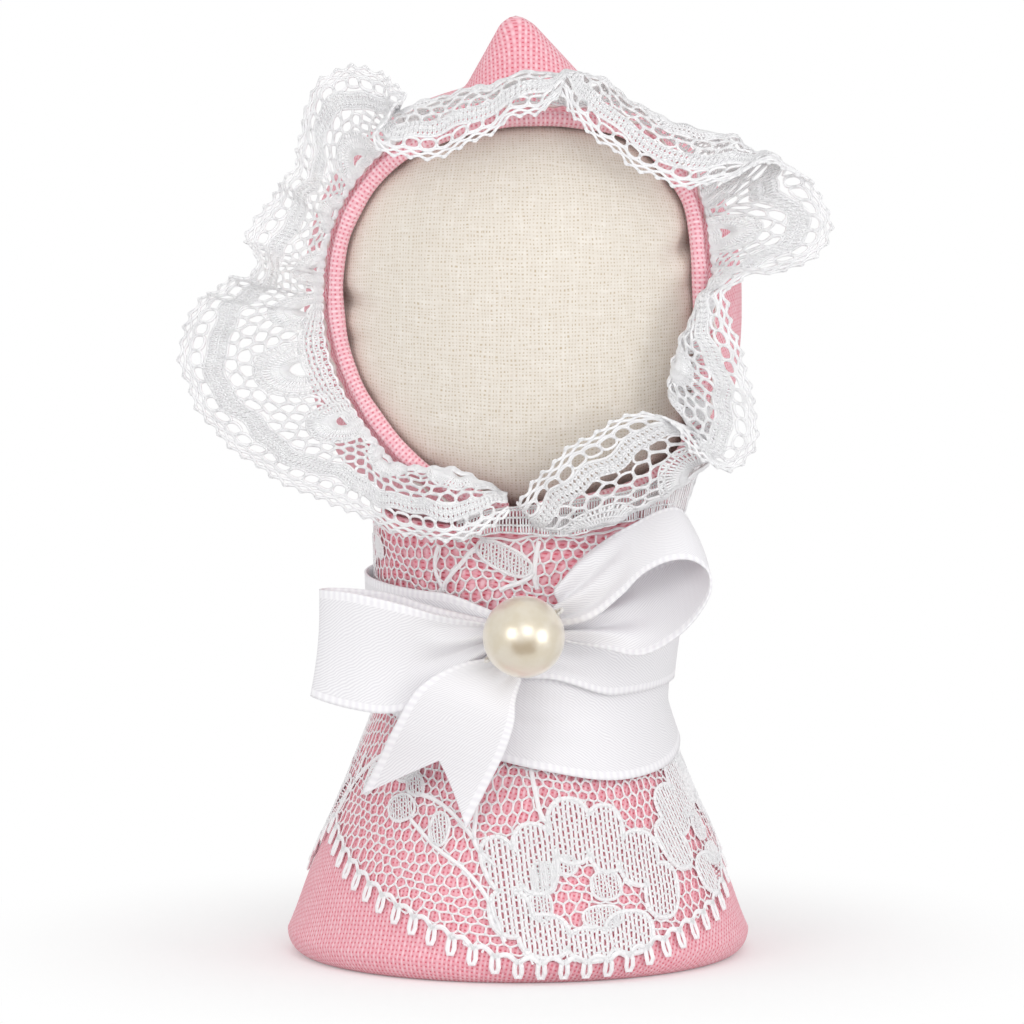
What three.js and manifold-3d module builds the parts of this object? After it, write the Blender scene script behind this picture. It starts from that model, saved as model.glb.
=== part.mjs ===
// Swaddled cloth doll with a blank linen face, a pointed hood with a gathered lace frill,
// a lace wrap and a satin ribbon bow with a bead sewn on the knot.
// Millimetres, +Z up, the doll faces -Y, and the origin is the middle of the flat base.
import * as THREE from "three";
import { mergeVertices } from "three/addons/utils/BufferGeometryUtils.js";
import Module from "manifold-3d";

const wasm = await Module();
wasm.setup();

// Driving dimensions

const GAP = 0.35; // air left between neighbouring pieces
const CLOTH = 0.8; // wall of the pink cloth, seams and lining included
const LACE = 0.4;
const RIBBON = 0.4;
const RIBBON_WIDTH = 12.7;

const BASE_RADIUS = 26; // where the body wrap turns under
const HEM_RADIUS = 28.3; // widest place of the skirt
const HEM_HEIGHT = 2.8;
const WAIST_RADIUS = 16.5;
const WAIST_HEIGHT = 31;
const COLLAR_RADIUS = 18;
const COLLAR_HEIGHT = 54.8;
const SKIRT_FLARE = 1.35; // exponent of the skirt's flare
const NECK_LEAN = 1.2; // sideways lean of the collar
const LEAN_START = 25; // height at which the lean begins
const LAP_ANGLE = 140; // free edge of the body wrap, at the back
const LAP_REACH = 40; // degrees over which the outer layer climbs
const LAP_LIFT = 0.7;
const BASE_CLOTH = 0.6; // thickness of the cloth disc under the base
const BASE_CARD = 1.2; // thickness of the card disc over it
const CARD_INSET = 1.6; // from the edge of the base to the card

const HEAD_CENTRE = new THREE.Vector3(0.6, 0, 80.5);
const HEAD_RADIUS = 25.4;
const HEAD_DEPTH = 0.93; // front to back, as a share of the width
const HEAD_TOP = 25;
const HEAD_BOTTOM = 26.3;
const HEAD_NECK_TURN = 82; // degrees below the level at which the head meets the neck
const NECK_RADIUS = 7;
const NECK_BOTTOM = 50;
const NECK_TIE = 2.5; // from the neck's bottom up to the thread that ties it

const HOOD_RADIUS = 26.8;
const HOOD_CROWN = 26.4; // height of the crown over the head's centre
const HOOD_CHIN = 29; // depth of the hood's rounding below it
const CROWN_SQUARENESS = 2.3; // exponents of the rounded-square outline above and below the centre
const CHIN_SQUARENESS = 2.5;
const HOOD_NECK_RADIUS = 15.6;
const HOOD_BOTTOM = 51.5;
const HOOD_LEVELS = [55, 57, 60.5, 65.5, 72]; // heights of the hood's rings below the head's centre
const PEAK_HEIGHT = 115.6;
const PEAK_RADIUS = 7.7;
const PEAK_TIP = 1.3;
const PEAK_FILLET = 4; // depth below the crown over which the peak grows out of it
const PEAK_BLEND = 7; // exponent that joins the crown and the peak
const PEAK_ROUNDING = 0.84; // share of the peak's height at which its tip starts to round over
const PEAK_FOOT_X = 0.7; // the peak leans: sideways place of its foot and of its tip
const PEAK_TIP_X = -0.9;

const RIM_RADIUS = 0.92; // rolled hem round the face
const FACE_CUT = [-8, -48]; // from the back to the front of the cut for the face
const BEAD_RADIUS = 5;
const BEAD_BORE = 0.6;
const BEAD_TILT = 34; // degrees of the bore above the horizontal
const BEAD_RISE = 0.4; // of the bead's centre over the knot's
const THREAD_RADIUS = 0.25;

// Outline of the face opening, x and z seen from the front, from the chin up the left side
const RIM_OUTLINE = [
  [-1.1, 57.2], [-10.9, 61.6], [-16.6, 67.2], [-20.6, 74], [-22.2, 82], [-21, 91],
  [-16.2, 98.4], [-8.3, 102.8], [4, 104.4], [14.6, 101.8], [20.6, 94.8], [22, 87],
  [22.2, 79], [22, 70], [20, 63.3], [13.5, 59.2], [1.7, 57.1],
];

// Folds of the frill: place of its sewn edge along the rim in percent, then the free edge's x and z and
// how far it stands forward of the sewn edge
const FRILL_FOLDS = [
  [0.3, -1, 57.8, 3], [3, -3.2, 56, 4.5], [5.5, -7.4, 54.5, 5], [8, -12, 54.3, 4], [10, -16.2, 55.2, 3],
  [11.5, -21.2, 57.3, 2], [13, -26.1, 59.1, 1.5], [14.5, -30.7, 61.4, 1], [16, -35, 64.4, 0.5],
  [17.5, -38.4, 67.8, 0], [19, -40.5, 71.7, 0], [20.5, -41.5, 75.7, 0], [21.8, -40.6, 79.9, 1],
  [23, -38.7, 82.9, 3], [24, -35.8, 85.3, 6], [24.8, -33.1, 86.6, 9], [25.6, -31.4, 88.5, 10],
  [26.4, -32.9, 89.4, 6], [27.3, -33.4, 90.4, 3], [28.5, -32.1, 92.6, 1.5], [29.7, -30.2, 95, 2],
  [30.7, -28.8, 97.6, 5], [31.7, -27.2, 100, 4], [32.7, -26.7, 102.3, 1], [33.7, -26.3, 104.7, -1],
  [34.7, -25.6, 107, -2], [35.7, -23.8, 109.3, -2], [36.6, -21, 110.9, -1.5], [37.5, -17.8, 110.6, 0],
  [38.3, -15, 109.5, 3], [39, -14, 107.6, 7], [39.6, -16.3, 105.7, 10.5], [40.2, -17.5, 103.4, 12],
  [41, -16, 101.6, 12.5], [42.2, -12.6, 100.9, 12.5], [43.6, -9, 101.4, 12.5], [45, -5.9, 102.6, 12],
  [46.3, -3.2, 104, 11.5], [47.5, -1.2, 105.6, 10.8], [48.7, 0.6, 105.7, 10.5], [49.9, 2.3, 106, 10],
  [51.1, 3.8, 106.9, 8.5], [52.2, 5, 108.2, 6.5], [53.1, 5.5, 107.6, 7.5], [54, 6.3, 105.9, 9.5],
  [54.8, 7.4, 104.7, 11], [55.8, 9.2, 103.4, 12], [57, 11.2, 101.6, 12], [58.2, 13, 100.2, 12],
  [59.6, 15.2, 98.8, 11.5], [61, 17.8, 97.6, 11], [62.3, 20.9, 97, 10.5], [63.5, 23.8, 97.4, 10],
  [64.5, 26.9, 98.9, 9.5], [65.4, 30.9, 99.6, 7], [66.3, 34.4, 98, 5.5], [67.2, 37.1, 95.2, 4],
  [68.1, 38.4, 91.7, 3], [69, 37.2, 88.6, 2.5], [69.9, 33.8, 86.7, 2.5], [70.8, 30.3, 86, 3],
  [71.7, 27.4, 85.8, 5], [72.6, 25.5, 84.2, 6.5], [73.6, 25.8, 82.4, 7], [74.8, 26.5, 79.6, 7],
  [76, 27.6, 76.2, 7], [77.2, 28.5, 72.3, 6.5], [78.6, 29.3, 67.7, 6], [79.8, 28.6, 64.2, 6],
  [81, 26.6, 62.2, 7], [82.2, 23.8, 62.8, 8.5], [83.3, 21.7, 64.4, 10], [84.4, 19.5, 67.1, 11],
  [85.6, 17.1, 69.5, 11.5], [87, 15, 70.2, 12], [89, 11.9, 69.3, 12], [90.8, 8.8, 67.8, 11.5],
  [92.6, 5.8, 65.8, 10.5], [94.4, 3.4, 63.5, 9], [96.2, 1.5, 61.3, 7.5], [98.2, 0, 59.2, 6],
  [99.7, -0.3, 58.2, 4],
];

// Where the frill billows between its two edges: place along the rim in percent, then right, up and forward
const FRILL_BILLOW = [
  [0, 0, 0, 0], [39, 0, 0, 0], [42, -1, 1.8, 1], [46, -0.5, 3, 1], [49, 0, 5, 1], [54, 1, 5, 1],
  [57, 0, 0, 0], [60, 1.2, 1.5, 0], [61.5, 4.3, 4.2, 0], [63, 7.4, 6.7, 0], [66, 7.6, 4.8, 0],
  [68, 3.7, 1.5, 0], [70.5, 0, 0, 0], [72, -5, 0, 4], [74, -9.5, -1, 8], [76, -13.5, -1, 10],
  [78.5, -17, 2, 11], [80.5, -17, 4.5, 11], [82, -9, 3, 7], [83.5, -1, 0, 2], [85, 0.5, -0.8, 1],
  [96, 0, -1, 1], [100, 0, 0, 0],
];
const FRILL_SEAT = 0.95; // along the hood, from the rim's middle to the frill's sewn edge
const FRILL_LIFT = 1.35; // of the sewn edge's middle off the hood
const FRILL_SPRING = 0.45; // share of its reach that the lace stands off the hood before it bends over

const { cos, sin, sqrt, abs, sign, max, min, PI } = Math;
const radians = THREE.MathUtils.degToRad;
const smooth = THREE.MathUtils.smoothstep;
const { lerp, clamp, euclideanModulo } = THREE.MathUtils;
const vector = (x, y, z) => new THREE.Vector3(x, y, z);

// Materials

const finish = (color, roughness) => new THREE.MeshStandardMaterial({ color, roughness, metalness: 0 });
const PINK_COTTON = finish(0xe79aaa, 0.9);
const LINEN = finish(0xe9e2d2, 0.92);
const FILLING = finish(0xf4f1ea, 1);
const CARD = finish(0xb89f7c, 0.95);
const WHITE_LACE = finish(0xf5f3f4, 0.85);
const SATIN = finish(0xf3f1f3, 0.35);
const PEARL = finish(0xe9dfcc, 0.2);
const THREAD = finish(0xeeeae4, 0.8);

const doll = new THREE.Group();

function add(name, geometry, material) {
  const mesh = new THREE.Mesh(geometry, material);
  mesh.name = name;
  doll.add(mesh);
  return mesh;
}

// Geometry helpers

function bareGeometry(geometry) {
  const bare = new THREE.BufferGeometry();
  bare.setAttribute("position", geometry.getAttribute("position").clone());
  if (geometry.index) bare.setIndex(geometry.index.clone());
  return mergeVertices(bare, 1e-4);
}

function signedVolume(geometry) {
  const p = geometry.getAttribute("position");
  const corner = [vector(), vector(), vector()];
  let sum = 0;
  for (let i = 0; i < geometry.index.count; i += 3) {
    corner.forEach((c, k) => c.fromBufferAttribute(p, geometry.index.getX(i + k)));
    sum += corner[0].dot(corner[1].cross(corner[2])) / 6;
  }
  return sum;
}

// Turns every triangle round if a closed surface faces inwards
function facingOut(geometry) {
  const merged = bareGeometry(geometry);
  if (signedVolume(merged) < 0) {
    const index = merged.index;
    for (let i = 0; i < index.count; i += 3) {
      const second = index.getX(i + 1);
      index.setX(i + 1, index.getX(i + 2));
      index.setX(i + 2, second);
    }
  }
  merged.computeVertexNormals();
  return merged;
}

// Closed wall between two surfaces that share a grid of rows; in a ring each row closes on itself
function wallGeometry(outer, inner, ring) {
  const rows = outer.length;
  const columns = outer[0].length;
  const points = [...outer.flat(), ...inner.flat()];
  const at = (side, i, j) => side * rows * columns + i * columns + (j % columns);
  const index = [];
  const quad = (a, b, c, d) => index.push(a, b, c, a, c, d);
  const last = ring ? columns : columns - 1;
  for (let i = 0; i + 1 < rows; i++) {
    for (let j = 0; j < last; j++) {
      quad(at(0, i, j), at(0, i, j + 1), at(0, i + 1, j + 1), at(0, i + 1, j));
      quad(at(1, i, j), at(1, i + 1, j), at(1, i + 1, j + 1), at(1, i, j + 1));
    }
    if (!ring) {
      quad(at(0, i, 0), at(0, i + 1, 0), at(1, i + 1, 0), at(1, i, 0));
      quad(at(0, i, last), at(1, i, last), at(1, i + 1, last), at(0, i + 1, last));
    }
  }
  for (let j = 0; j < last; j++) {
    quad(at(0, 0, j), at(1, 0, j), at(1, 0, j + 1), at(0, 0, j + 1));
    const top = rows - 1;
    quad(at(0, top, j), at(0, top, j + 1), at(1, top, j + 1), at(1, top, j));
  }
  const geometry = new THREE.BufferGeometry().setFromPoints(points);
  geometry.setIndex(index);
  return facingOut(geometry);
}

// Sheet of even thickness on a grid of rows of points, thickened along its own normals
function sheetGeometry(rows, thickness) {
  const normalAt = (i, j) => {
    const along = rows[min(i + 1, rows.length - 1)][j].clone().sub(rows[max(i - 1, 0)][j]);
    const across = rows[i][min(j + 1, rows[i].length - 1)].clone().sub(rows[i][max(j - 1, 0)]);
    return along.cross(across).normalize();
  };
  const moved = (p, i, j, shift) => p.clone().addScaledVector(normalAt(i, j), shift);
  const side = (shift) => rows.map((row, i) => row.map((p, j) => moved(p, i, j, shift)));
  return wallGeometry(side(thickness / 2), side(-thickness / 2), false);
}

// Turns a profile of [radius, height] about the Z axis
function turned(profile, segments) {
  const points = profile.map(([radius, height]) => new THREE.Vector2(radius, height));
  return new THREE.LatheGeometry(points, segments).rotateX(PI / 2);
}

function tube(points, radius, sides, steps) {
  const section = new THREE.Shape();
  for (let i = 0; i < sides; i++) {
    const angle = (2 * PI * i) / sides;
    const corner = [radius * cos(angle), radius * sin(angle)];
    if (i) section.lineTo(...corner);
    else section.moveTo(...corner);
  }
  const extrudePath = new THREE.CatmullRomCurve3(points);
  return new THREE.ExtrudeGeometry(section, { steps, extrudePath, bevelEnabled: false });
}

function solidOf(geometry) {
  const merged = facingOut(geometry);
  const vertProperties = new Float32Array(merged.getAttribute("position").array);
  const triVerts = new Uint32Array(merged.index.array);
  return new wasm.Manifold(new wasm.Mesh({ numProp: 3, vertProperties, triVerts }));
}

function geometryOf(solid) {
  const mesh = solid.getMesh();
  const geometry = new THREE.BufferGeometry();
  geometry.setAttribute("position", new THREE.BufferAttribute(new Float32Array(mesh.vertProperties), 3));
  geometry.setIndex(new THREE.BufferAttribute(new Uint32Array(mesh.triVerts), 1));
  geometry.computeVertexNormals();
  return geometry;
}

const steps = (count, from, to) => Array.from({ length: count + 1 }, (_, i) => lerp(from, to, i / count));

// Facets round each turned piece
const BASE_SIDES = 40;
const WRAP_SIDES = 34;
const FILLING_SIDES = 24;
const HEAD_SIDES = 28;
const HOOD_SIDES = 33;
const LACE_SIDES = 52;
const RIBBON_SIDES = 48;

// Body: swaddling cloth wrapped round a filling, on a card base

// Outer radius of the body wrap: a rounded hem, a flared skirt, then the drawn-in waist up to the collar
function bodyRadius(z) {
  if (z < HEM_HEIGHT) {
    const below = (HEM_HEIGHT - z) / HEM_HEIGHT;
    return lerp(BASE_RADIUS, HEM_RADIUS, sqrt(max(0, 1 - below * below)));
  }
  if (z < WAIST_HEIGHT) {
    const share = (WAIST_HEIGHT - z) / (WAIST_HEIGHT - HEM_HEIGHT);
    return lerp(WAIST_RADIUS, HEM_RADIUS, share ** SKIRT_FLARE);
  }
  return lerp(WAIST_RADIUS, COLLAR_RADIUS, smooth(z, WAIST_HEIGHT, COLLAR_HEIGHT));
}

const bodyAxis = (z) => NECK_LEAN * smooth(z, LEAN_START, COLLAR_HEIGHT);

// Point on the body at an angle from the front, positive towards +X, that stands proud of the wrap
function onBody(angle, z, proud) {
  const radius = bodyRadius(z) + proud;
  return vector(bodyAxis(z) + radius * sin(radians(angle)), -radius * cos(radians(angle)), z);
}

// The wrap's outer layer climbs over the inner one and ends in a free edge at the back
const lapLift = (angle) => LAP_LIFT * smooth(angle, LAP_ANGLE - LAP_REACH, LAP_ANGLE - LAP_REACH / 2);

function buildBody() {
  const disc = (radius, thickness, bottom) => {
    const flat = new THREE.CylinderGeometry(radius, radius, thickness, BASE_SIDES).rotateX(PI / 2);
    return flat.translate(0, 0, bottom + thickness / 2);
  };
  const cardBottom = BASE_CLOTH + GAP;
  add("base_card", disc(BASE_RADIUS - CARD_INSET, BASE_CARD, cardBottom), CARD);
  add("base_cloth", disc(BASE_RADIUS - CLOTH - GAP, BASE_CLOTH, 0), PINK_COTTON);

  const hem = steps(3, 0, HEM_HEIGHT);
  const skirt = steps(6, HEM_HEIGHT, WAIST_HEIGHT).slice(1);
  const levels = [...hem, ...skirt, ...steps(2, WAIST_HEIGHT, COLLAR_HEIGHT).slice(1)];
  const around = steps(WRAP_SIDES, LAP_ANGLE - 360, LAP_ANGLE);
  const wall = (inset, lift) =>
    levels.map((z) => around.map((angle) => onBody(angle, z, inset + lift * lapLift(angle))));
  add("body_wrap", wallGeometry(wall(0, 1), wall(-CLOTH, 0), true), PINK_COTTON);

  const room = CLOTH + 2 * GAP;
  const fillingLevels = steps(8, cardBottom + BASE_CARD + GAP, NECK_BOTTOM - GAP);
  const rim = fillingLevels.map((z) => [bodyRadius(z) - room - abs(bodyAxis(z)), z]);
  const [bottom, top] = [rim[0], rim[rim.length - 1]];
  add("body_filling", facingOut(turned([[0, bottom[1]], ...rim, [0, top[1]]], FILLING_SIDES)), FILLING);
}

// Head: linen stretched over a ball of filling and tied at the neck

const HEAD_ROOM = 1.6 * GAP; // between the linen and its filling
const TIE_RADIUS = 2 * THREAD_RADIUS; // several turns of thread

// A rounded-square ball that fills the hood, down to a slim neck
function headProfile(shrink) {
  const neck = NECK_RADIUS - shrink;
  const ball = steps(13, 90, -HEAD_NECK_TURN).map((degrees) => {
    const power = 2 / (degrees > 0 ? CROWN_SQUARENESS : CHIN_SQUARENESS);
    const tall = (degrees > 0 ? HEAD_TOP : HEAD_BOTTOM) - shrink;
    const radius = (HEAD_RADIUS - shrink) * max(cos(radians(degrees)), 0) ** power;
    const climb = sin(radians(degrees));
    const height = tall * sign(climb) * abs(climb) ** power;
    return [degrees > 0 ? radius : max(radius, neck), HEAD_CENTRE.z + height];
  });
  ball[0][0] = 0;
  return [...ball, [neck, NECK_BOTTOM]];
}

function buildHead() {
  const place = (geometry) => facingOut(geometry.scale(1, HEAD_DEPTH, 1).translate(HEAD_CENTRE.x, 0, 0));
  const cover = [...headProfile(0), ...headProfile(CLOTH).reverse()];
  add("head_cover", place(turned(cover, HEAD_SIDES)), LINEN);
  const filling = headProfile(CLOTH + HEAD_ROOM);
  add("head_filling", place(turned([...filling, [0, NECK_BOTTOM]], FILLING_SIDES)), FILLING);
  const tieRadius = NECK_RADIUS + GAP + TIE_RADIUS;
  const tie = steps(6, 0, 360).map((a) => [
    tieRadius + TIE_RADIUS * cos(radians(a)),
    NECK_BOTTOM + NECK_TIE + TIE_RADIUS * sin(radians(a)),
  ]);
  add("neck_tie", place(turned(tie, FILLING_SIDES)), THREAD);
}

// Hood: a crowned shell with a pointed peak, open at the face and at the neck

const CROWN_TOP = HEAD_CENTRE.z + HOOD_CROWN;
const CROWN_TURN = 72; // degrees of the crown below the peak
const PEAK_FULL = 1; // how far below the crown's top the peak has its full width
const LEAN_RANGE = [-0.3, 0.1]; // rise over which the lean begins
const SIDE_DEPTH = 2; // least distance of the hood's front from its middle
const peakRise = (z) => (z - CROWN_TOP) / (PEAK_HEIGHT - CROWN_TOP);

function hoodRadius(z) {
  const height = z - HEAD_CENTRE.z;
  const power = height > 0 ? CROWN_SQUARENESS : CHIN_SQUARENESS;
  const share = min(abs(height) / (height > 0 ? HOOD_CROWN : HOOD_CHIN), 1);
  const crown = HOOD_RADIUS * (1 - share ** power) ** (1 / power);
  if (height < 0) return max(crown, HOOD_NECK_RADIUS);
  const rise = peakRise(z);
  const grown = smooth(z, CROWN_TOP - PEAK_FILLET, CROWN_TOP - PEAK_FULL);
  const over = clamp((rise - PEAK_ROUNDING) / (1 - PEAK_ROUNDING), 0, 1);
  const peak = lerp(PEAK_RADIUS, PEAK_TIP, rise) * grown * sqrt(1 - over * over);
  return (crown ** PEAK_BLEND + peak ** PEAK_BLEND) ** (1 / PEAK_BLEND);
}

// Sideways lean of the peak
const peakLean = (z) =>
  lerp(PEAK_FOOT_X, PEAK_TIP_X, clamp(peakRise(z), 0, 1)) * smooth(peakRise(z), ...LEAN_RANGE);

function hoodSolid(shrink) {
  const bottom = shrink ? HOOD_BOTTOM - shrink : HOOD_BOTTOM;
  const crownLevels = steps(6, 0, CROWN_TURN).map((a) => HEAD_CENTRE.z + HOOD_CROWN * sin(radians(a)));
  const peakLevels = steps(3, CROWN_TOP, lerp(CROWN_TOP, PEAK_HEIGHT, PEAK_ROUNDING));
  const tipLevel = lerp(CROWN_TOP, PEAK_HEIGHT, (1 + PEAK_ROUNDING) / 2);
  const heights = [HOOD_BOTTOM, ...HOOD_LEVELS, ...crownLevels, ...peakLevels, tipLevel];
  const rim = heights.map((z) => [hoodRadius(z) - shrink, z - (z > HEAD_CENTRE.z ? shrink : 0)]);
  const side = rim.filter(([radius]) => radius > shrink / 2);
  const top = shrink ? side[side.length - 1][1] + shrink : PEAK_HEIGHT;
  const profile = [[0, bottom], [side[0][0], bottom], ...side.slice(shrink ? 0 : 1), [0, top]];
  const shell = turned(profile, HOOD_SIDES).scale(1, HEAD_DEPTH, 1).translate(HEAD_CENTRE.x, 0, 0);
  const place = shell.getAttribute("position");
  for (let i = 0; i < place.count; i++) place.setX(i, place.getX(i) + peakLean(place.getZ(i)));
  return solidOf(shell);
}

// Front of the hood's outer surface, and its outward normal there
function hoodFront(x, z) {
  const across = x - HEAD_CENTRE.x;
  const deep = sqrt(max(hoodRadius(z) ** 2 - across ** 2, SIDE_DEPTH ** 2));
  return vector(x, -HEAD_DEPTH * deep, z);
}

function hoodNormal(point) {
  const small = 0.2;
  const rise = (hoodRadius(point.z + small) - hoodRadius(point.z - small)) / (2 * small);
  const across = point.x - HEAD_CENTRE.x;
  return vector(across, point.y / HEAD_DEPTH ** 2, -hoodRadius(point.z) * rise).normalize();
}

const faceRadial = (x, z) => vector(x - HEAD_CENTRE.x, 0, z - HEAD_CENTRE.z).normalize();
const rimCurve = new THREE.CatmullRomCurve3(RIM_OUTLINE.map(([x, z]) => vector(x, 0, z)));

// The rim's curve laid on the front of the hood, moved along the hood away from the face
function alongRim(share, outward) {
  const flat = rimCurve.getPointAt(share);
  const radial = faceRadial(flat.x, flat.z);
  const steepness = hoodNormal(hoodFront(flat.x, flat.z)).dot(radial);
  flat.addScaledVector(radial, outward * sqrt(1 - steepness ** 2));
  return hoodFront(flat.x, flat.z);
}

function buildHood() {
  const opening = new THREE.Shape();
  const cut = RIM_RADIUS + GAP;
  steps(44, 0, 1).forEach((share, i) => {
    const point = alongRim(share, cut);
    if (i) opening.lineTo(point.x, point.z);
    else opening.moveTo(point.x, point.z);
  });
  const [back, front] = FACE_CUT;
  const cutter = new THREE.ExtrudeGeometry(opening, { depth: back - front, steps: 1, bevelEnabled: false });
  cutter.rotateX(PI / 2).translate(0, back, 0);
  const shell = hoodSolid(0).subtract(hoodSolid(CLOTH)).subtract(solidOf(cutter));
  const pieces = shell.decompose().sort((a, b) => b.volume() - a.volume());
  add("hood", geometryOf(pieces[0]), PINK_COTTON);
  const rim = steps(40, 0, 1).map((share) => alongRim(share, 0));
  add("hood_rim", facingOut(tube(rim, RIM_RADIUS, 7, 48)), PINK_COTTON);
}

// Frill: a strip of lace gathered on to the hood's edge, thrown into folds

const STITCHED = [0.02, 0.98]; // shares of the rim between which the thread runs

// Values of the billow table at a place along the rim, as a vector
function billowAt(percent) {
  const next = max(1, FRILL_BILLOW.findIndex(([place]) => place >= percent));
  const [before, after] = [FRILL_BILLOW[next - 1], FRILL_BILLOW[next]];
  const share = (percent - before[0]) / (after[0] - before[0]);
  const [right, up, forward] = [1, 2, 3].map((k) => lerp(before[k], after[k], share));
  return vector(right, -forward, up);
}

function buildFrill() {
  const rows = FRILL_FOLDS.map(([percent, x, z, forward]) => {
    const seat = alongRim(percent / 100, FRILL_SEAT);
    seat.addScaledVector(hoodNormal(seat), FRILL_LIFT);
    const edge = vector(x, seat.y - forward, z);
    const spring = FRILL_SPRING * seat.distanceTo(edge);
    const rise = seat.clone().addScaledVector(hoodNormal(seat), spring).add(billowAt(percent));
    const fold = new THREE.QuadraticBezierCurve3(seat, rise, edge);
    return steps(5, 0, 1).map((across) => fold.getPoint(across));
  });
  add("hood_frill", sheetGeometry(rows, LACE), WHITE_LACE);

  const beside = FRILL_SEAT + LACE / 2 + GAP + 2 * THREAD_RADIUS;
  const stitches = steps(40, ...STITCHED).map((share) => {
    const point = alongRim(share, beside);
    return point.addScaledVector(hoodNormal(point), GAP + THREAD_RADIUS);
  });
  add("frill_thread", facingOut(tube(stitches, THREAD_RADIUS, 5, 44)), THREAD);
}

// Lace wrap: one wide lace with a scalloped hem, laid over the body wrap

const SCALLOP_CENTRE = 11.5; // degrees from the front
const SCALLOP_FLAT = 13.5; // degrees to either side over which the hem runs level
const SCALLOP_ROUND = 4; // degrees over which it turns upwards
const SCALLOP_LOW = 0.55;
const SCALLOP_SLOPE = 0.19; // millimetres of rise per degree
const SCALLOP_EASE = 0.71; // share of the slope to the right of the low place
const SCALLOP_EASED = [50, 90]; // degrees over which the slope is full again
const LACE_TOP = 53;
const LACE_TILT = 1.2; // how far the lace's top climbs to the right
const LACE_ROWS = [0, 0.1, 0.33, 0.55, 0.78, 1]; // shares of the way from the hem up to the waist

function hemHeight(angle) {
  const turn = euclideanModulo(angle - SCALLOP_CENTRE + 90, 180) - 90;
  const past = abs(turn) - SCALLOP_FLAT;
  const climb = (past + sqrt(past * past + SCALLOP_ROUND ** 2)) / 2;
  const ease = turn > 0 ? lerp(SCALLOP_EASE, 1, smooth(turn, ...SCALLOP_EASED)) : 1;
  return SCALLOP_LOW + SCALLOP_SLOPE * climb * ease;
}

const laceTop = (angle) => LACE_TOP + LACE_TILT * sin(radians(angle));

function buildLaceWrap() {
  const around = steps(LACE_SIDES, SCALLOP_CENTRE, SCALLOP_CENTRE + 360).slice(0, -1);
  const rows = [
    ...LACE_ROWS.map((share) => (angle) => lerp(hemHeight(angle), WAIST_HEIGHT, share)),
    ...[0.5, 1].map((share) => (angle) => lerp(WAIST_HEIGHT, laceTop(angle), share)),
  ];
  const wall = (proud) =>
    rows.map((height) => around.map((angle) => onBody(angle, height(angle), LAP_LIFT + GAP + proud)));
  add("lace_wrap", wallGeometry(wall(LACE), wall(0), true), WHITE_LACE);
}

// Ribbon: two turns round the waist, tied in a bow with two loops and a tail

const FIRST_TURN = LAP_LIFT + 2.3 * GAP + LACE;
const SECOND_TURN = FIRST_TURN + RIBBON + 1.5 * GAP;
const FRONT = 3; // degrees of the knot from the front
const GATHERED = 0.6; // width of a turn under the knot, as a share of the ribbon's
const GATHER_ANGLES = [4, 34]; // degrees from the knot over which it widens
const LOWER_MIDDLE = 32.6; // mean height of the lower turn, which dips to the right
const LOWER_DIP = 3;
const LOWER_DIP_ANGLE = 45;
const UPPER_MIDDLE = 39;
const UPPER_DIP = 1.8;

function ribbonTurn(name, proud, middle, width) {
  const around = steps(RIBBON_SIDES, FRONT, FRONT + 360).slice(0, -1);
  const wall = (out) =>
    steps(2, -0.5, 0.5).map((share) =>
      around.map((angle) => {
        const z = middle(angle) + share * width(angle);
        return onBody(angle, z, proud + out);
      }),
    );
  add(name, wallGeometry(wall(RIBBON), wall(0), true), SATIN);
}

// The turns narrow where they are gathered under the knot
const gathered = (angle) => {
  const fromKnot = abs(euclideanModulo(angle - FRONT + 180, 360) - 180);
  return RIBBON_WIDTH * lerp(GATHERED, 1, smooth(fromKnot, ...GATHER_ANGLES));
};

// A strip of ribbon through pairs of edge points
function ribbonStrip(name, edges, count) {
  const first = new THREE.CatmullRomCurve3(edges.map(([a]) => vector(...a)));
  const second = new THREE.CatmullRomCurve3(edges.map(([, b]) => vector(...b)));
  const rows = steps(count, 0, 1).map((share) => {
    const [a, b] = [first.getPoint(share), second.getPoint(share)];
    return steps(3, 0, 1).map((across) => a.clone().lerp(b, across));
  });
  add(name, sheetGeometry(rows, RIBBON), SATIN);
}

const KNOT = vector(0.7, -22.1, 42.6);
const KNOT_SIZE = vector(6.6, 2.4, 6.4);
const KNOT_CORNER = 1.2;
const KNOT_BEVEL = 0.5;

// Lower and upper edges of the left loop, from the knot out to the fold and back behind
const LEFT_LOOP = [
  [[-3.1, -22.6, 40.4], [-3.1, -22.6, 44.4]],
  [[-9, -23.4, 36.6], [-9, -23.2, 45.8]],
  [[-15, -23.6, 34.8], [-14.6, -23.2, 46.7]],
  [[-21, -22, 33.9], [-20.2, -21.6, 46.6]],
  [[-24.6, -19, 33.6], [-23.6, -18.8, 46.4]],
  [[-23.2, -16.6, 33.9], [-22.4, -16.6, 46.6]],
  [[-17, -17.4, 34.9], [-16.6, -17.4, 46.6]],
  [[-10, -20.6, 37], [-10, -20.6, 45.6]],
  [[-3.1, -21.5, 40.6], [-3.1, -21.5, 44.2]],
];

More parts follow.
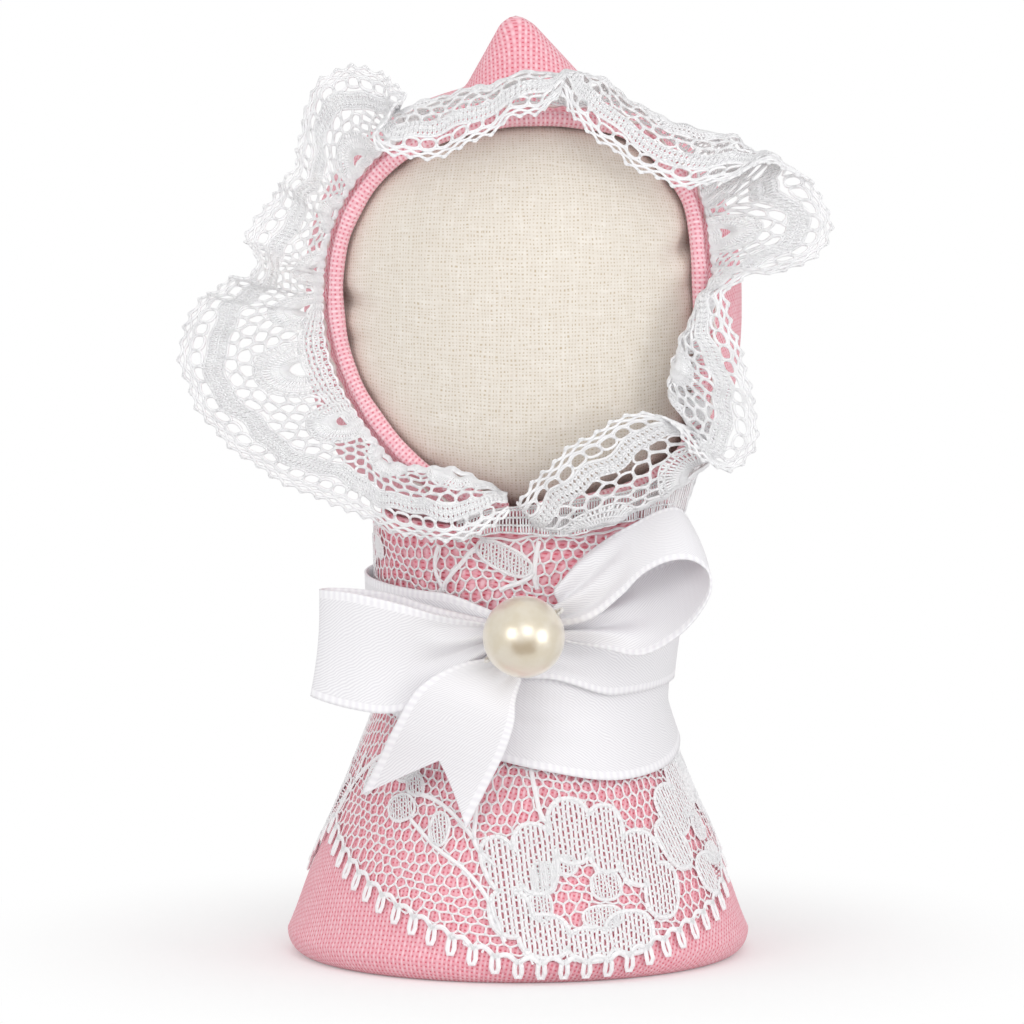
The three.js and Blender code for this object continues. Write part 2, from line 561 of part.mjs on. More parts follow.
// Front and back edges of the right loop, which stands up and shows its inside
const RIGHT_LOOP = [
  [[4.6, -22.7, 43.2], [4.6, -21.4, 46]],
  [[9.6, -25, 46], [9.7, -18, 50]],
  [[14.6, -26, 50.3], [15.4, -15.8, 54.4]],
  [[19, -26, 51.8], [20, -15.4, 57]],
  [[22.3, -25.6, 50.6], [22.9, -15, 55.6]],
  [[23.4, -25.2, 48.2], [23.9, -14.8, 53]],
  [[22.3, -24.8, 45.7], [23, -15.2, 50.2]],
  [[19.4, -24.6, 42.9], [19.6, -16.4, 47]],
  [[14.9, -24.8, 40.4], [14.6, -18.6, 44.4]],
  [[10, -24.2, 40.8], [9.8, -20.6, 43.4]],
  [[4.6, -22.6, 41.2], [4.6, -21.6, 42.6]],
];

// Left and right edges of the tail, from the knot down to its swallow-tailed end
const TAIL = [
  [[-3.4, -23.5, 39.6], [0.4, -23.5, 37]],
  [[-7.4, -24.6, 38.2], [-0.2, -24.6, 33.6]],
  [[-10.9, -25.2, 34.8], [-0.6, -25.4, 30.8]],
  [[-14, -24.4, 30.2], [-2.2, -25.4, 26.8]],
  [[-16.6, -21.9, 25.9], [-4.3, -24.6, 22.6]],
  [[-18.8, -19.2, 21.5], [-6.6, -23.8, 18.2]],
];
const TAIL_NOTCH = 0.27; // depth of the swallow-tail, as a share of the tail's length

function buildTail() {
  const left = new THREE.CatmullRomCurve3(TAIL.map(([a]) => vector(...a)));
  const right = new THREE.CatmullRomCurve3(TAIL.map(([, b]) => vector(...b)));
  const rows = steps(12, 0, 1).map((share) =>
    steps(8, 0, 1).map((across) => {
      const reach = share * (1 - TAIL_NOTCH * (1 - abs(2 * across - 1)));
      return left.getPoint(reach).lerp(right.getPoint(reach), across);
    }),
  );
  add("bow_tail", sheetGeometry(rows, RIBBON), SATIN);
}

function buildRibbon() {
  const lower = (angle) => LOWER_MIDDLE - LOWER_DIP * cos(radians(angle - LOWER_DIP_ANGLE));
  const upper = (angle) => UPPER_MIDDLE - UPPER_DIP * sin(radians(angle));
  ribbonTurn("ribbon_turn_lower", FIRST_TURN, lower, gathered);
  ribbonTurn("ribbon_turn_upper", SECOND_TURN, upper, gathered);
  ribbonStrip("bow_loop_left", LEFT_LOOP, 26);
  ribbonStrip("bow_loop_right", RIGHT_LOOP, 30);
  buildTail();

  const outline = new THREE.Shape();
  const [w, h] = [KNOT_SIZE.x / 2 - KNOT_CORNER, KNOT_SIZE.z / 2 - KNOT_CORNER];
  const corners = [[w, h, 0], [-w, h, 90], [-w, -h, 180], [w, -h, 270]];
  corners.forEach(([x, y, start]) => outline.absarc(x, y, KNOT_CORNER, radians(start), radians(start + 90)));
  const knot = new THREE.ExtrudeGeometry(outline, {
    depth: KNOT_SIZE.y - 2 * KNOT_BEVEL,
    bevelEnabled: true,
    bevelThickness: KNOT_BEVEL,
    bevelSize: KNOT_BEVEL,
    bevelOffset: -KNOT_BEVEL,
    bevelSegments: 2,
    curveSegments: 3,
  });
  knot.translate(0, 0, KNOT_BEVEL - KNOT_SIZE.y / 2).rotateX(PI / 2).translate(KNOT.x, KNOT.y, KNOT.z);
  add("bow_knot", facingOut(knot), SATIN);
}

// Bead: drilled through, and sewn to the knot by a thread that passes through it

const THREAD_TURN = [72, 34]; // degrees over which the thread passes round the bead

function buildBead() {
  const centre = vector(KNOT.x, KNOT.y - KNOT_SIZE.y / 2 - GAP - BEAD_RADIUS, KNOT.z + BEAD_RISE);
  const axis = vector(cos(radians(BEAD_TILT)), 0, sin(radians(BEAD_TILT)));
  const ball = solidOf(new THREE.SphereGeometry(BEAD_RADIUS, 22, 14));
  const drill = new THREE.CylinderGeometry(BEAD_BORE, BEAD_BORE, 3 * BEAD_RADIUS, 10);
  drill.applyQuaternion(new THREE.Quaternion().setFromUnitVectors(vector(0, 1, 0), axis));
  const bead = geometryOf(ball.subtract(solidOf(drill)));
  add("pearl_bead", bead.translate(centre.x, centre.y, centre.z), PEARL);

  const away = BEAD_RADIUS + GAP + 2 * THREAD_RADIUS;
  const side = steps(3, ...THREAD_TURN).map((a) =>
    axis.clone().multiplyScalar(away * sin(radians(a))).add(vector(0, away * cos(radians(a)), 0)),
  );
  const mirrored = side.map((p) => vector(-p.x, p.y, -p.z)).reverse();
  const bore = [-1.05, -0.5, 0, 0.5, 1.05].map((share) => axis.clone().multiplyScalar(share * BEAD_RADIUS));
  const route = [...mirrored, ...bore, ...side].map((p) => p.add(centre));
  add("pearl_thread", facingOut(tube(route, THREAD_RADIUS, 6, 28)), THREAD);
}

buildBody();
buildHead();
buildHood();
buildFrill();
buildLaceWrap();
buildRibbon();
buildBead();

export default doll;
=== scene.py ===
"""Looks of a swaddled cloth doll: woven cloth, thread lace, satin ribbon and a pearl bead.

Shapes are worked out in millimetres in the doll's frame (+Z up, the face looks along -Y)
and are written to the meshes in metres.
"""

import bmesh
import bpy
import numpy as np
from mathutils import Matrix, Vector


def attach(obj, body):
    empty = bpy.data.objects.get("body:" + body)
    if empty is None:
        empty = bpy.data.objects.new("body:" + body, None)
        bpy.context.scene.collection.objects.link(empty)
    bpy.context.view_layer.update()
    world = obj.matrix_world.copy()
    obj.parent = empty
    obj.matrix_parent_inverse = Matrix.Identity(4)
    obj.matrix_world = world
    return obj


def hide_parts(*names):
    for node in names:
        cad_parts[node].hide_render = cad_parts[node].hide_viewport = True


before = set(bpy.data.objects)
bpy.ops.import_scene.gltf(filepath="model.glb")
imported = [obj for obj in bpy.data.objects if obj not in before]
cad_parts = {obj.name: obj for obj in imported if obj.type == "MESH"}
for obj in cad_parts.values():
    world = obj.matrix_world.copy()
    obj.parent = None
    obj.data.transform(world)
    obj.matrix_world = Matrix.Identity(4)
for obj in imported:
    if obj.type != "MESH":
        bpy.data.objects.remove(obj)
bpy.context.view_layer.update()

MM = 0.001
TAU = 2 * np.pi
WELD_DISTANCE = 1e-7

# Sizes of the doll, in millimetres

GAP = 0.35
CLOTH = 0.8
LACE = 0.4
RIBBON = 0.4
RIBBON_WIDTH = 12.7

BASE_RADIUS = 26
HEM_RADIUS = 28.3
HEM_HEIGHT = 2.8
WAIST_RADIUS = 16.5
WAIST_HEIGHT = 31
COLLAR_RADIUS = 18
COLLAR_HEIGHT = 54.8
SKIRT_FLARE = 1.1
NECK_LEAN = 1.2
LEAN_START = 25
LAP_ANGLE = 140
LAP_REACH = 40
LAP_LIFT = 0.7

HEAD_X = 0.6
HEAD_Z = 80.5
HEAD_RADIUS = 25.4
HEAD_DEPTH = 0.93
HEAD_TOP = 25
HEAD_BOTTOM = 26.3
NECK_RADIUS = 7
NECK_BOTTOM = 50

HOOD_RADIUS = 26.8
HOOD_CROWN = 26.4
HOOD_CHIN = 29
CROWN_SQUARENESS = 2.3
CHIN_SQUARENESS = 2.5
HOOD_NECK_RADIUS = 15.6
HOOD_BOTTOM = 51.5
PEAK_HEIGHT = 115.6
PEAK_RADIUS = 7.7
PEAK_TIP = 1.3
PEAK_FOOT_X = 0.7
PEAK_TIP_X = -0.9

RIM_RADIUS = 0.92
BEAD_RADIUS = 5
BEAD_BORE = 0.6
BEAD_TILT = 34
THREAD_RADIUS = 0.25

# Outline of the face opening, x and z seen from the front, from the chin up the left side
RIM_OUTLINE = [
    [-1.1, 57.2], [-10.9, 61.6], [-16.6, 67.2], [-20.6, 74], [-22.2, 82], [-21, 91],
    [-16.2, 98.4], [-8.3, 102.8], [4, 104.4], [14.6, 101.8], [20.6, 94.8], [22, 87],
    [22.2, 79], [22, 70], [20, 63.3], [13.5, 59.2], [1.7, 57.1],
]

# Folds of the frill: place of the seat along the rim in percent, then the free edge's x and z and how far it
# stands forward of the seat
FRILL_FOLDS = np.array([
    [0.3, -1, 57.8, 3], [3, -3.2, 56, 4.5], [5.5, -7.4, 54.5, 5], [8, -12, 54.3, 4], [10, -16.2, 55.2, 3],
    [11.5, -21.2, 57.3, 2], [13, -26.1, 59.1, 1.5], [14.5, -30.7, 61.4, 1], [16, -35, 64.4, 0.5],
    [17.5, -38.4, 67.8, 0], [19, -40.5, 71.7, 0], [20.5, -41.5, 75.7, 0], [21.8, -40.6, 79.9, 1],
    [23, -38.7, 82.9, 3], [24, -35.8, 85.3, 6], [24.8, -33.1, 86.6, 9], [25.6, -31.4, 88.5, 10],
    [26.4, -32.9, 89.4, 6], [27.3, -33.4, 90.4, 3], [28.5, -32.1, 92.6, 1.5], [29.7, -30.2, 95, 2],
    [30.7, -28.8, 97.6, 5], [31.7, -27.2, 100, 4], [32.7, -26.7, 102.3, 1], [33.7, -26.3, 104.7, -1],
    [34.7, -25.6, 107, -2], [35.7, -23.8, 109.3, -2], [36.6, -21, 110.9, -1.5], [37.5, -17.8, 110.6, 0],
    [38.3, -15, 109.5, 3], [39, -14, 107.6, 7], [39.6, -16.3, 105.7, 10.5], [40.2, -17.5, 103.4, 12],
    [41, -16, 101.6, 12.5], [42.2, -12.6, 100.9, 12.5], [43.6, -9, 101.4, 12.5], [45, -5.9, 102.6, 12],
    [46.3, -3.2, 104, 11.5], [47.5, -1.2, 105.6, 10.8], [48.7, 0.6, 105.7, 10.5], [49.9, 2.3, 106, 10],
    [51.1, 3.8, 106.9, 8.5], [52.2, 5, 108.2, 6.5], [53.1, 5.5, 107.6, 7.5], [54, 6.3, 105.9, 9.5],
    [54.8, 7.4, 104.7, 11], [55.8, 9.2, 103.4, 12], [57, 11.2, 101.6, 12], [58.2, 13, 100.2, 12],
    [59.6, 15.2, 98.8, 11.5], [61, 17.8, 97.6, 11], [62.3, 20.9, 97, 10.5], [63.5, 23.8, 97.4, 10],
    [64.5, 26.9, 98.9, 9.5], [65.4, 30.9, 99.6, 7], [66.3, 34.4, 98, 5.5], [67.2, 37.1, 95.2, 4],
    [68.1, 38.4, 91.7, 3], [69, 37.2, 88.6, 2.5], [69.9, 33.8, 86.7, 2.5], [70.8, 30.3, 86, 3],
    [71.7, 27.4, 85.8, 5], [72.6, 25.5, 84.2, 6.5], [73.6, 25.8, 82.4, 7], [74.8, 26.5, 79.6, 7],
    [76, 27.6, 76.2, 7], [77.2, 28.5, 72.3, 6.5], [78.6, 29.3, 67.7, 6], [79.8, 28.6, 64.2, 6],
    [81, 26.6, 62.2, 7], [82.2, 23.8, 62.8, 8.5], [83.3, 21.7, 64.4, 10], [84.4, 19.5, 67.1, 11],
    [85.6, 17.1, 69.5, 11.5], [87, 15, 70.2, 12], [89, 11.9, 69.3, 12], [90.8, 8.8, 67.8, 11.5],
    [92.6, 5.8, 65.8, 10.5], [94.4, 3.4, 63.5, 9], [96.2, 1.5, 61.3, 7.5], [98.2, 0, 59.2, 6],
    [99.7, -0.3, 58.2, 4],
])

# Where the frill billows between its two edges: place along the rim in percent, then right, up and forward
FRILL_BILLOW = np.array([
    [0, 0, 0, 0], [39, 0, 0, 0], [42, -1, 1.8, 1], [46, -0.5, 3, 1], [49, 0, 5, 1], [54, 1, 5, 1],
    [57, 0, 0, 0], [60, 1.2, 1.5, 0], [61.5, 4.3, 4.2, 0], [63, 7.4, 6.7, 0], [66, 7.6, 4.8, 0],
    [68, 3.7, 1.5, 0], [70.5, 0, 0, 0], [72, -5, 0, 4], [74, -9.5, -1, 8], [76, -13.5, -1, 10],
    [78.5, -17, 2, 11], [80.5, -17, 4.5, 11], [82, -9, 3.6, 7], [83.5, -1, 2.6, 2], [85, 0.5, 2.4, 1],
    [88, 0.3, 2.6, 1], [91.5, 0, 2.4, 1], [94, 0, 0, 1], [96, 0, -1, 1], [100, 0, 0, 0],
])
FRILL_SEAT = 0.95
FRILL_LIFT = 1.35
FRILL_COVER = -4.6
FRILL_COVER_LIFT = 1.7
FRILL_WIDTH = 20.0

# Seam of the lace at the throat, and how far its gathered heading hangs below the seam
THROAT_SEAM = np.array([
    [-7.4, -20.4, 56], [-3.6, -20.8, 57.4], [0.2, -20.9, 57.9], [3.7, -20.8, 58.2], [6.6, -20.4, 58.6],
    [9.8, -19.6, 59], [13.2, -18.2, 59.4], [16.4, -16.6, 60.4], [19.6, -14, 61.4], [22.2, -10.6, 62.4],
    [23.7, -7, 63.4],
])
THROAT_DROP = np.array([2.4, 2.8, 3.2, 3.8, 4.3, 3.8, 3.6, 4.4, 5.8, 6.4, 0.8])
THROAT_LEAN = 1.7
THROAT_LEAN_REACH = (0.6, 0.9)
THROAT_FOLD = 0.45
THROAT_CRIMP = 0.2
THROAT_SWAY = 0.25
THROAT_PROUD = 0.25

KNOT = np.array([0.7, -22.1, 42.6])
KNOT_SIZE = np.array([6.6, 2.4, 6.4])
KNOT_SQUARENESS = 0.5
KNOT_FRONT = 0.6
KNOT_PLEAT = 0.07
BEAD_CENTRE = KNOT + [0, -KNOT_SIZE[1] / 2 - GAP - BEAD_RADIUS, 0.4]
FIRST_TURN = LAP_LIFT + 2.3 * GAP + LACE
SECOND_TURN = FIRST_TURN + RIBBON + 1.5 * GAP
FRONT = 3

# Lower and upper edges of the left loop, from the knot out to the fold and back behind
LEFT_LOOP = np.array([
    [[-3.1, -22.6, 40.2], [-3.1, -22.6, 43.6]],
    [[-9, -23.4, 35.4], [-9, -23.2, 44.7]],
    [[-15, -23.6, 32.9], [-14.6, -23.2, 46.3]],
    [[-20.6, -22, 33.2], [-20.4, -21.6, 47.4]],
    [[-25.2, -19, 34.3], [-24.1, -18.8, 47.4]],
    [[-23.4, -16.6, 34.2], [-22.6, -16.6, 47.3]],
    [[-17, -17.4, 34.6], [-16.6, -17.4, 46.9]],
    [[-10, -20.6, 37], [-10, -20.6, 45.4]],
    [[-3.1, -21.5, 40.4], [-3.1, -21.5, 43.8]],
])

# Front and back edges of the right loop, which stands up and shows its inside
RIGHT_LOOP = np.array([
    [[4.6, -22.8, 43.2], [4.6, -20.8, 47.8]],
    [[9.2, -25.4, 44.7], [7.4, -20, 51.2]],
    [[12.5, -27, 47.7], [10.6, -19.6, 53.6]],
    [[15.2, -27.8, 50.7], [14.2, -19.6, 55.6]],
    [[18.4, -28.2, 52.3], [17.6, -19.6, 57.3]],
    [[21.2, -27.9, 52.3], [19.4, -19.4, 57.5]],
    [[23.1, -27.6, 50.9], [20.7, -19.2, 56.1]],
    [[23.4, -27.2, 48.5], [21.2, -19, 54.2]],
    [[22, -26.8, 45.6], [20.4, -19, 52.3]],
    [[19.2, -26.4, 42.6], [18, -19, 51]],
    [[15, -25.8, 40.4], [14.6, -19.2, 49.5]],
    [[10.4, -24.4, 41.2], [10.2, -20.1, 46.4]],
    [[4.6, -22.4, 42], [4.6, -21.4, 43.6]],
])

# Left and right edges of the tail, from the knot down to its swallow-tailed end
TAIL = np.array([
    [[-3.5, -23.6, 39.6], [0.3, -23.6, 37]],
    [[-7.8, -24.6, 38.8], [-0.4, -24.6, 34.4]],
    [[-12.2, -25.4, 36.2], [-0.5, -25.4, 32]],
    [[-14.9, -24.4, 31.7], [-1.6, -25.4, 28.4]],
    [[-17, -22, 27], [-3.8, -24.6, 23.8]],
    [[-19.2, -19.4, 22.1], [-6.4, -23.8, 18.7]],
])
TAIL_NOTCH = 0.27
TAIL_PLEAT = 0.3
TAIL_WAVE = 0.25

# Arithmetic on whole arrays


def lerp(a, b, share):
    return a + (b - a) * share


def smooth(x, low, high):
    """Nought below low, one above high, and 3t^2 - 2t^3 between."""
    t = np.clip((np.asarray(x, float) - low) / (high - low), 0, 1)
    return t * t * (3 - 2 * t)


def unit(v):
    return v / np.maximum(np.linalg.norm(v, axis=-1, keepdims=True), 1e-9)


def xyz(x, y, z):
    return np.stack(np.broadcast_arrays(x, y, z), axis=-1).astype(float)


def pair(first, second):
    return np.stack([first, second], axis=-1)


def grid(first, second):
    return np.meshgrid(first, second, indexing="ij")


def around(count):
    """Angles of a full turn, without the last, which is the first again."""
    return np.linspace(0, TAU, count, endpoint=False)


def powered(wave, power):
    """A wave raised to a power with its sign kept, which squares or sharpens it."""
    return np.sign(wave) * np.abs(wave) ** power


def from_knot(angle):
    """How far round an angle is from the knot, either way, in degrees."""
    return np.abs((angle - FRONT + 180) % 360 - 180)


def jitter(a, b, phase):
    """Even-looking scatter from -1 to 1 at each place: the fraction of a large sine of the place."""
    wave = np.sin(a * 12.9898 + b * 78.233 + phase * 37.719) * 437.585
    return 2 * (wave - np.floor(wave)) - 1


def spline(knots, share):
    """Centripetal Catmull-Rom curve through the knots, each span an equal part of the share."""
    knots = np.asarray(knots, float)
    p = np.concatenate([[2 * knots[0] - knots[1]], knots, [2 * knots[-1] - knots[-2]]])
    place = np.clip(share, 0, 1) * (len(knots) - 1)
    span = np.minimum(place.astype(int), len(knots) - 2)
    t = (place - span)[..., None]
    p0, p1, p2, p3 = (p[span + k] for k in range(4))
    d0, d1, d2 = (
        np.sqrt(np.maximum(np.linalg.norm(b - a, axis=-1, keepdims=True), 1e-6))
        for a, b in ((p0, p1), (p1, p2), (p2, p3))
    )
    m1 = ((p1 - p0) / d0 - (p2 - p0) / (d0 + d1) + (p2 - p1) / d1) * d1
    m2 = ((p2 - p1) / d1 - (p3 - p1) / (d1 + d2) + (p3 - p2) / d2) * d1
    cubic = 2 * p1 - 2 * p2 + m1 + m2
    square = -3 * p1 + 3 * p2 - 2 * m1 - m2
    return p1 + t * (m1 + t * (square + t * cubic))


def lengths(points):
    """Distance run along a row of points, from nought at the first."""
    return np.concatenate([[0], np.cumsum(np.linalg.norm(np.diff(points, axis=0), axis=-1))])


# Meshes


def quads(rows, columns, ring_rows=False, ring_columns=False):
    """Corners of the quads of a grid, and the same corners on the grid before its rings are closed."""
    i = np.arange(rows - (not ring_rows))[:, None]
    j = np.arange(columns - (not ring_columns))[None, :]
    wide = columns + ring_columns
    steps = ((0, 0), (0, 1), (1, 1), (1, 0))
    closed = [((i + di) % rows) * columns + (j + dj) % columns for di, dj in steps]
    opened = [(i + di) * wide + j + dj for di, dj in steps]
    return np.stack(closed, axis=-1).reshape(-1, 4), np.stack(opened, axis=-1).reshape(-1, 4)


def piece(name, points, faces, material, uv=None, corners=None, weld=False, smoothed=True):
    """A mesh object from points in millimetres, with cloth lengths in millimetres as its UV map."""
    mesh = bpy.data.meshes.new(name)
    mesh.from_pydata((points.reshape(-1, 3) * MM).tolist(), [], faces.tolist())
    if uv is not None:
        layer = mesh.uv_layers.new(name="cloth")
        layer.uv.foreach_set("vector", uv.reshape(-1, 2)[corners.ravel()].astype(np.float32).ravel())
    mesh.polygons.foreach_set("use_smooth", np.full(len(mesh.polygons), smoothed))
    mesh.materials.append(material)
    if weld:
        work = bmesh.new()
        work.from_mesh(mesh)
        bmesh.ops.remove_doubles(work, verts=work.verts, dist=WELD_DISTANCE)
        work.to_mesh(mesh)
        work.free()
    mesh.update()
    made = bpy.data.objects.new(name, mesh)
    bpy.context.scene.collection.objects.link(made)
    return made


def thicken(made, thickness, offset):
    """Gives a sheet its wall: offset -1 grows inwards, 0 both ways."""
    wall = made.modifiers.new("wall", "SOLIDIFY")
    wall.thickness = thickness * MM
    wall.offset = offset


def settle(made, node, body="doll"):
    """Carries a piece on its body, in place of the node's solid."""
    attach(made, body)
    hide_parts(node)
    return made


def threads(paths, radius, sides=4, closed=False, out=(0.31, 0.52, 0.79), pressed=1.0):
    """Round threads along many paths of equal count: a ring of points square to the path at each of its
    points, quads between the rings, and quads across the two ends unless the path closes on itself.
    The radius is one value or one for each point of a path, and a pressed thread is thinner the way out."""
    paths = np.asarray(paths, float).reshape(-1, *np.shape(paths)[-2:])
    if closed:
        along = unit(np.roll(paths, -1, 1) - np.roll(paths, 1, 1))
    else:
        along = unit(np.gradient(paths, axis=1))
    side = unit(np.cross(along, np.asarray(out)))
    up = np.cross(along, side)
    turn = TAU * np.arange(sides)[:, None] / sides
    ring = np.cos(turn) * side[:, :, None] + np.sin(turn) * pressed * up[:, :, None]
    thick = np.broadcast_to(radius, paths.shape[1:2])[:, None, None]
    points = paths[:, :, None] + thick * ring
    index = np.arange(points[..., 0].size).reshape(points.shape[:3])
    near, far = (index, np.roll(index, -1, 1)) if closed else (index[:, :-1], index[:, 1:])
    faces = [np.stack([near, np.roll(near, -1, 2), np.roll(far, -1, 2), far], axis=-1).reshape(-1, 4)]
    if not closed:
        first, last = index[:, 0], index[:, -1]
        faces += [first[:, [3, 2, 1, 0]], last[:, [0, 1, 2, 3]]]
    if sides == 6 and not closed:
        faces += [first[:, [0, 5, 4, 3]], last[:, [0, 3, 4, 5]]]
    return points.reshape(-1, 3), np.concatenate(faces)


def joined(parts):
    """Points and quads of several parts as one."""
    starts = np.cumsum([0] + [len(points) for points, _ in parts[:-1]])
    faces = [quad + start for (_, quad), start in zip(parts, starts)]
    return np.concatenate([points for points, _ in parts]), np.concatenate(faces)


# Shader helpers


def linear(red, green, blue):
    """A colour given as 8-bit screen values, in linear light."""
    screen = np.array([red, green, blue]) / 255
    light = np.where(screen <= 0.04045, screen / 12.92, ((screen + 0.055) / 1.055) ** 2.4)
    return (*light.tolist(), 1.0)


def feed(tree, socket, value):
    """Links another socket, or sets a plain value."""
    if isinstance(value, bpy.types.NodeSocket):
        tree.links.new(value, socket)
    else:
        socket.default_value = value


def feed_all(tree, node, inputs):
    for key, value in inputs.items():
        feed(tree, node.inputs[key], value)


def add(tree, kind, inputs=None, **settings):
    node = tree.nodes.new(kind)
    for key, value in settings.items():
        setattr(node, key, value)
    feed_all(tree, node, inputs or {})
    return node


def calc(tree, operation, *values):
    node = add(tree, "ShaderNodeMath", operation=operation)
    for socket, value in zip(node.inputs, values):
        feed(tree, socket, value)
    return node.outputs[0]


def ramp(tree, value, low, high, start=0.0, end=1.0):
    """From start below low to end above high, eased between."""
    limits = {"Value": value, "From Min": low, "From Max": high, "To Min": start, "To Max": end}
    return add(tree, "ShaderNodeMapRange", limits, interpolation_type="SMOOTHSTEP").outputs["Result"]


def blend_colour(tree, share, first, second):
    return add(tree, "ShaderNodeMix", {0: share, 6: first, 7: second}, data_type="RGBA").outputs[2]


def noise(tree, vector, scale, detail=2.0):
    inputs = {"Vector": vector, "Scale": scale, "Detail": detail}
    return add(tree, "ShaderNodeTexNoise", inputs).outputs["Fac"]


def new_group(name, inputs, outputs):
    tree = bpy.data.node_groups.new(name, "ShaderNodeTree")
    for label, kind in inputs:
        tree.interface.new_socket(label, in_out="INPUT", socket_type="NodeSocket" + kind)
    for label, kind in outputs:
        tree.interface.new_socket(label, in_out="OUTPUT", socket_type="NodeSocket" + kind)
    start = tree.nodes.new("NodeGroupInput").outputs
    end = tree.nodes.new("NodeGroupOutput").inputs
    return tree, start, end


def place_group(tree, group, inputs):
    node = add(tree, "ShaderNodeGroup", node_tree=group)
    feed_all(tree, node, inputs)
    return node.outputs


def own_place(tree):
    """Place on the doll, in metres."""
    return add(tree, "ShaderNodeTexCoord").outputs["Object"]


def cloth_place(tree):
    """Place on the cloth laid flat, in millimetres."""
    return add(tree, "ShaderNodeUVMap", uv_map="cloth").outputs["UV"]


def new_material(name):
    material = bpy.data.materials.new(name)
    material.use_nodes = True
    tree = material.node_tree
    shader = next(n for n in tree.nodes if n.type == "BSDF_PRINCIPLED")
    return material, tree, shader


def bump(tree, shader, height, distance, strength=1.0):
    node = add(tree, "ShaderNodeBump", {"Height": height, "Distance": distance * MM, "Strength": strength})
    tree.links.new(node.outputs["Normal"], shader.inputs["Normal"])


WEAVE_RISE = 0.16


def combined(tree, x, x_scale, y, y_scale, z):
    """A place for noise, from two scaled lengths and a number that keeps it apart from other places."""
    x, y = calc(tree, "MULTIPLY", x, x_scale), calc(tree, "MULTIPLY", y, y_scale)
    return add(tree, "ShaderNodeCombineXYZ", {"X": x, "Y": y, "Z": z}).outputs[0]


def weave_group():
    """Plain weave from cloth lengths. With x and y counted in threads, |sin(pi x)| is the warp's round back
    and |sin(pi y)| the weft's; their signed product says which lies on top. Holes show where both are low.
    The streaks tell one thread from the next."""
    tree, start, end = new_group(
        "plain_weave",
        [("Cloth", "Vector"), ("Spacing", "Float"), ("Wander", "Float")],
        [(label, "Float") for label in ("Thread", "Height", "Warp", "Slub", "Streak")],
    )
    parts = add(tree, "ShaderNodeSeparateXYZ", {"Vector": start["Cloth"]}).outputs
    waves, streaks = [], []
    for own, other in (("X", "Y"), ("Y", "X")):
        long_way = combined(tree, parts[own], 0.9, parts[other], 0.22, 3.0 if own == "X" else 11.0)
        drift = calc(tree, "SUBTRACT", noise(tree, long_way, 1.0), 0.5)
        turns = calc(tree, "DIVIDE", parts[own], start["Spacing"])
        turns = calc(tree, "ADD", turns, calc(tree, "MULTIPLY", drift, start["Wander"]))
        waves.append(calc(tree, "SINE", calc(tree, "MULTIPLY", turns, np.pi)))
        one_thread = combined(tree, turns, 0.8, parts[other], 0.16, 5.0 if own == "X" else 17.0)
        streaks.append(noise(tree, one_thread, 1.0, 1.0))
    warp, weft = (calc(tree, "ABSOLUTE", wave) for wave in waves)
    over = calc(tree, "MULTIPLY", *waves)
    top = calc(tree, "MULTIPLY", warp, calc(tree, "MULTIPLY_ADD", over, WEAVE_RISE, 1 - WEAVE_RISE))
    under = calc(tree, "MULTIPLY", weft, calc(tree, "MULTIPLY_ADD", over, -WEAVE_RISE, 1 - WEAVE_RISE))
    results = {
        "Height": calc(tree, "MAXIMUM", top, under),
        "Thread": ramp(tree, calc(tree, "MAXIMUM", warp, weft), 0.3, 0.78),
        "Warp": top,
        "Slub": noise(tree, start["Cloth"], 0.55, 3.0),
        "Streak": calc(tree, "MULTIPLY", calc(tree, "ADD", *streaks), 0.5),
    }
    for label, value in results.items():
        feed(tree, end[label], value)
    return tree


WEAVE = weave_group()


def cloth_material(name, colours, spacing, wander, depth, sheen, ribbed, uneven):
    """Plain weave, in three colours: painted shade in its holes, painted shade on a thread's sides and a
    painted highlight on its back.
    Ribbed is how far the backs lose their painted highlight, and uneven how far threads differ and how many
    holes are closed."""
    # Painted shade in the holes and on the threads' sides, and a painted highlight on their backs
    hole_shade, side_shade_and_streak, light = (linear(*colour) for colour in colours)
    material, tree, shader = new_material(name)
    cloth = cloth_place(tree)
    weave = place_group(tree, WEAVE, {"Cloth": cloth, "Spacing": spacing, "Wander": wander})
    back = calc(tree, "MULTIPLY", weave["Warp"], 1 - ribbed)
    # The thread's back gets a painted highlight over its painted side shade; slubs lighten and streaks darken
    # threads at random
    thread = blend_colour(tree, ramp(tree, back, 0.5, 0.98), side_shade_and_streak, light)
    thread = blend_colour(tree, ramp(tree, weave["Slub"], 0.3, 0.75, 0.0, 0.35), thread, light)
    thread = blend_colour(tree, ramp(tree, weave["Streak"], 0.62, 0.38, 0.0, uneven), thread, side_shade_and_streak)
    closed = ramp(tree, noise(tree, cloth, 1.1 / spacing, 1.0), 0.38, 0.62, 0.0, uneven)
    filled = calc(tree, "MAXIMUM", weave["Thread"], closed)
    bump(tree, shader, weave["Height"], depth)
    feed_all(tree, shader, {
        "Base Color": blend_colour(tree, filled, hole_shade, thread), "Roughness": 0.9, "Sheen Weight": sheen,
        "Sheen Roughness": 0.5, "Specular IOR Level": 0.15,
    })
    return material


def lace_material(name, pale, shade):
    """White spun thread: faint mottling on the doll's own coordinates."""
    material, tree, shader = new_material(name)
    place = own_place(tree)
    mottle = ramp(tree, noise(tree, place, 900.0, 3.0), 0.3, 0.7)
    bump(tree, shader, noise(tree, place, 5200.0), 0.05, 0.6)
    feed_all(tree, shader, {
        "Base Color": blend_colour(tree, mottle, shade, pale), "Roughness": 0.8, "Specular IOR Level": 0.2,
        "Subsurface Weight": 0.35, "Subsurface Radius": (1.0, 1.0, 1.0), "Subsurface Scale": 0.25 * MM,
    })
    return material


def ripple(tree, length, period):
    """A wave from nought to one along a length."""
    wave = calc(tree, "SINE", calc(tree, "MULTIPLY", length, TAU / period))
    return calc(tree, "MULTIPLY_ADD", wave, 0.5, 0.5)


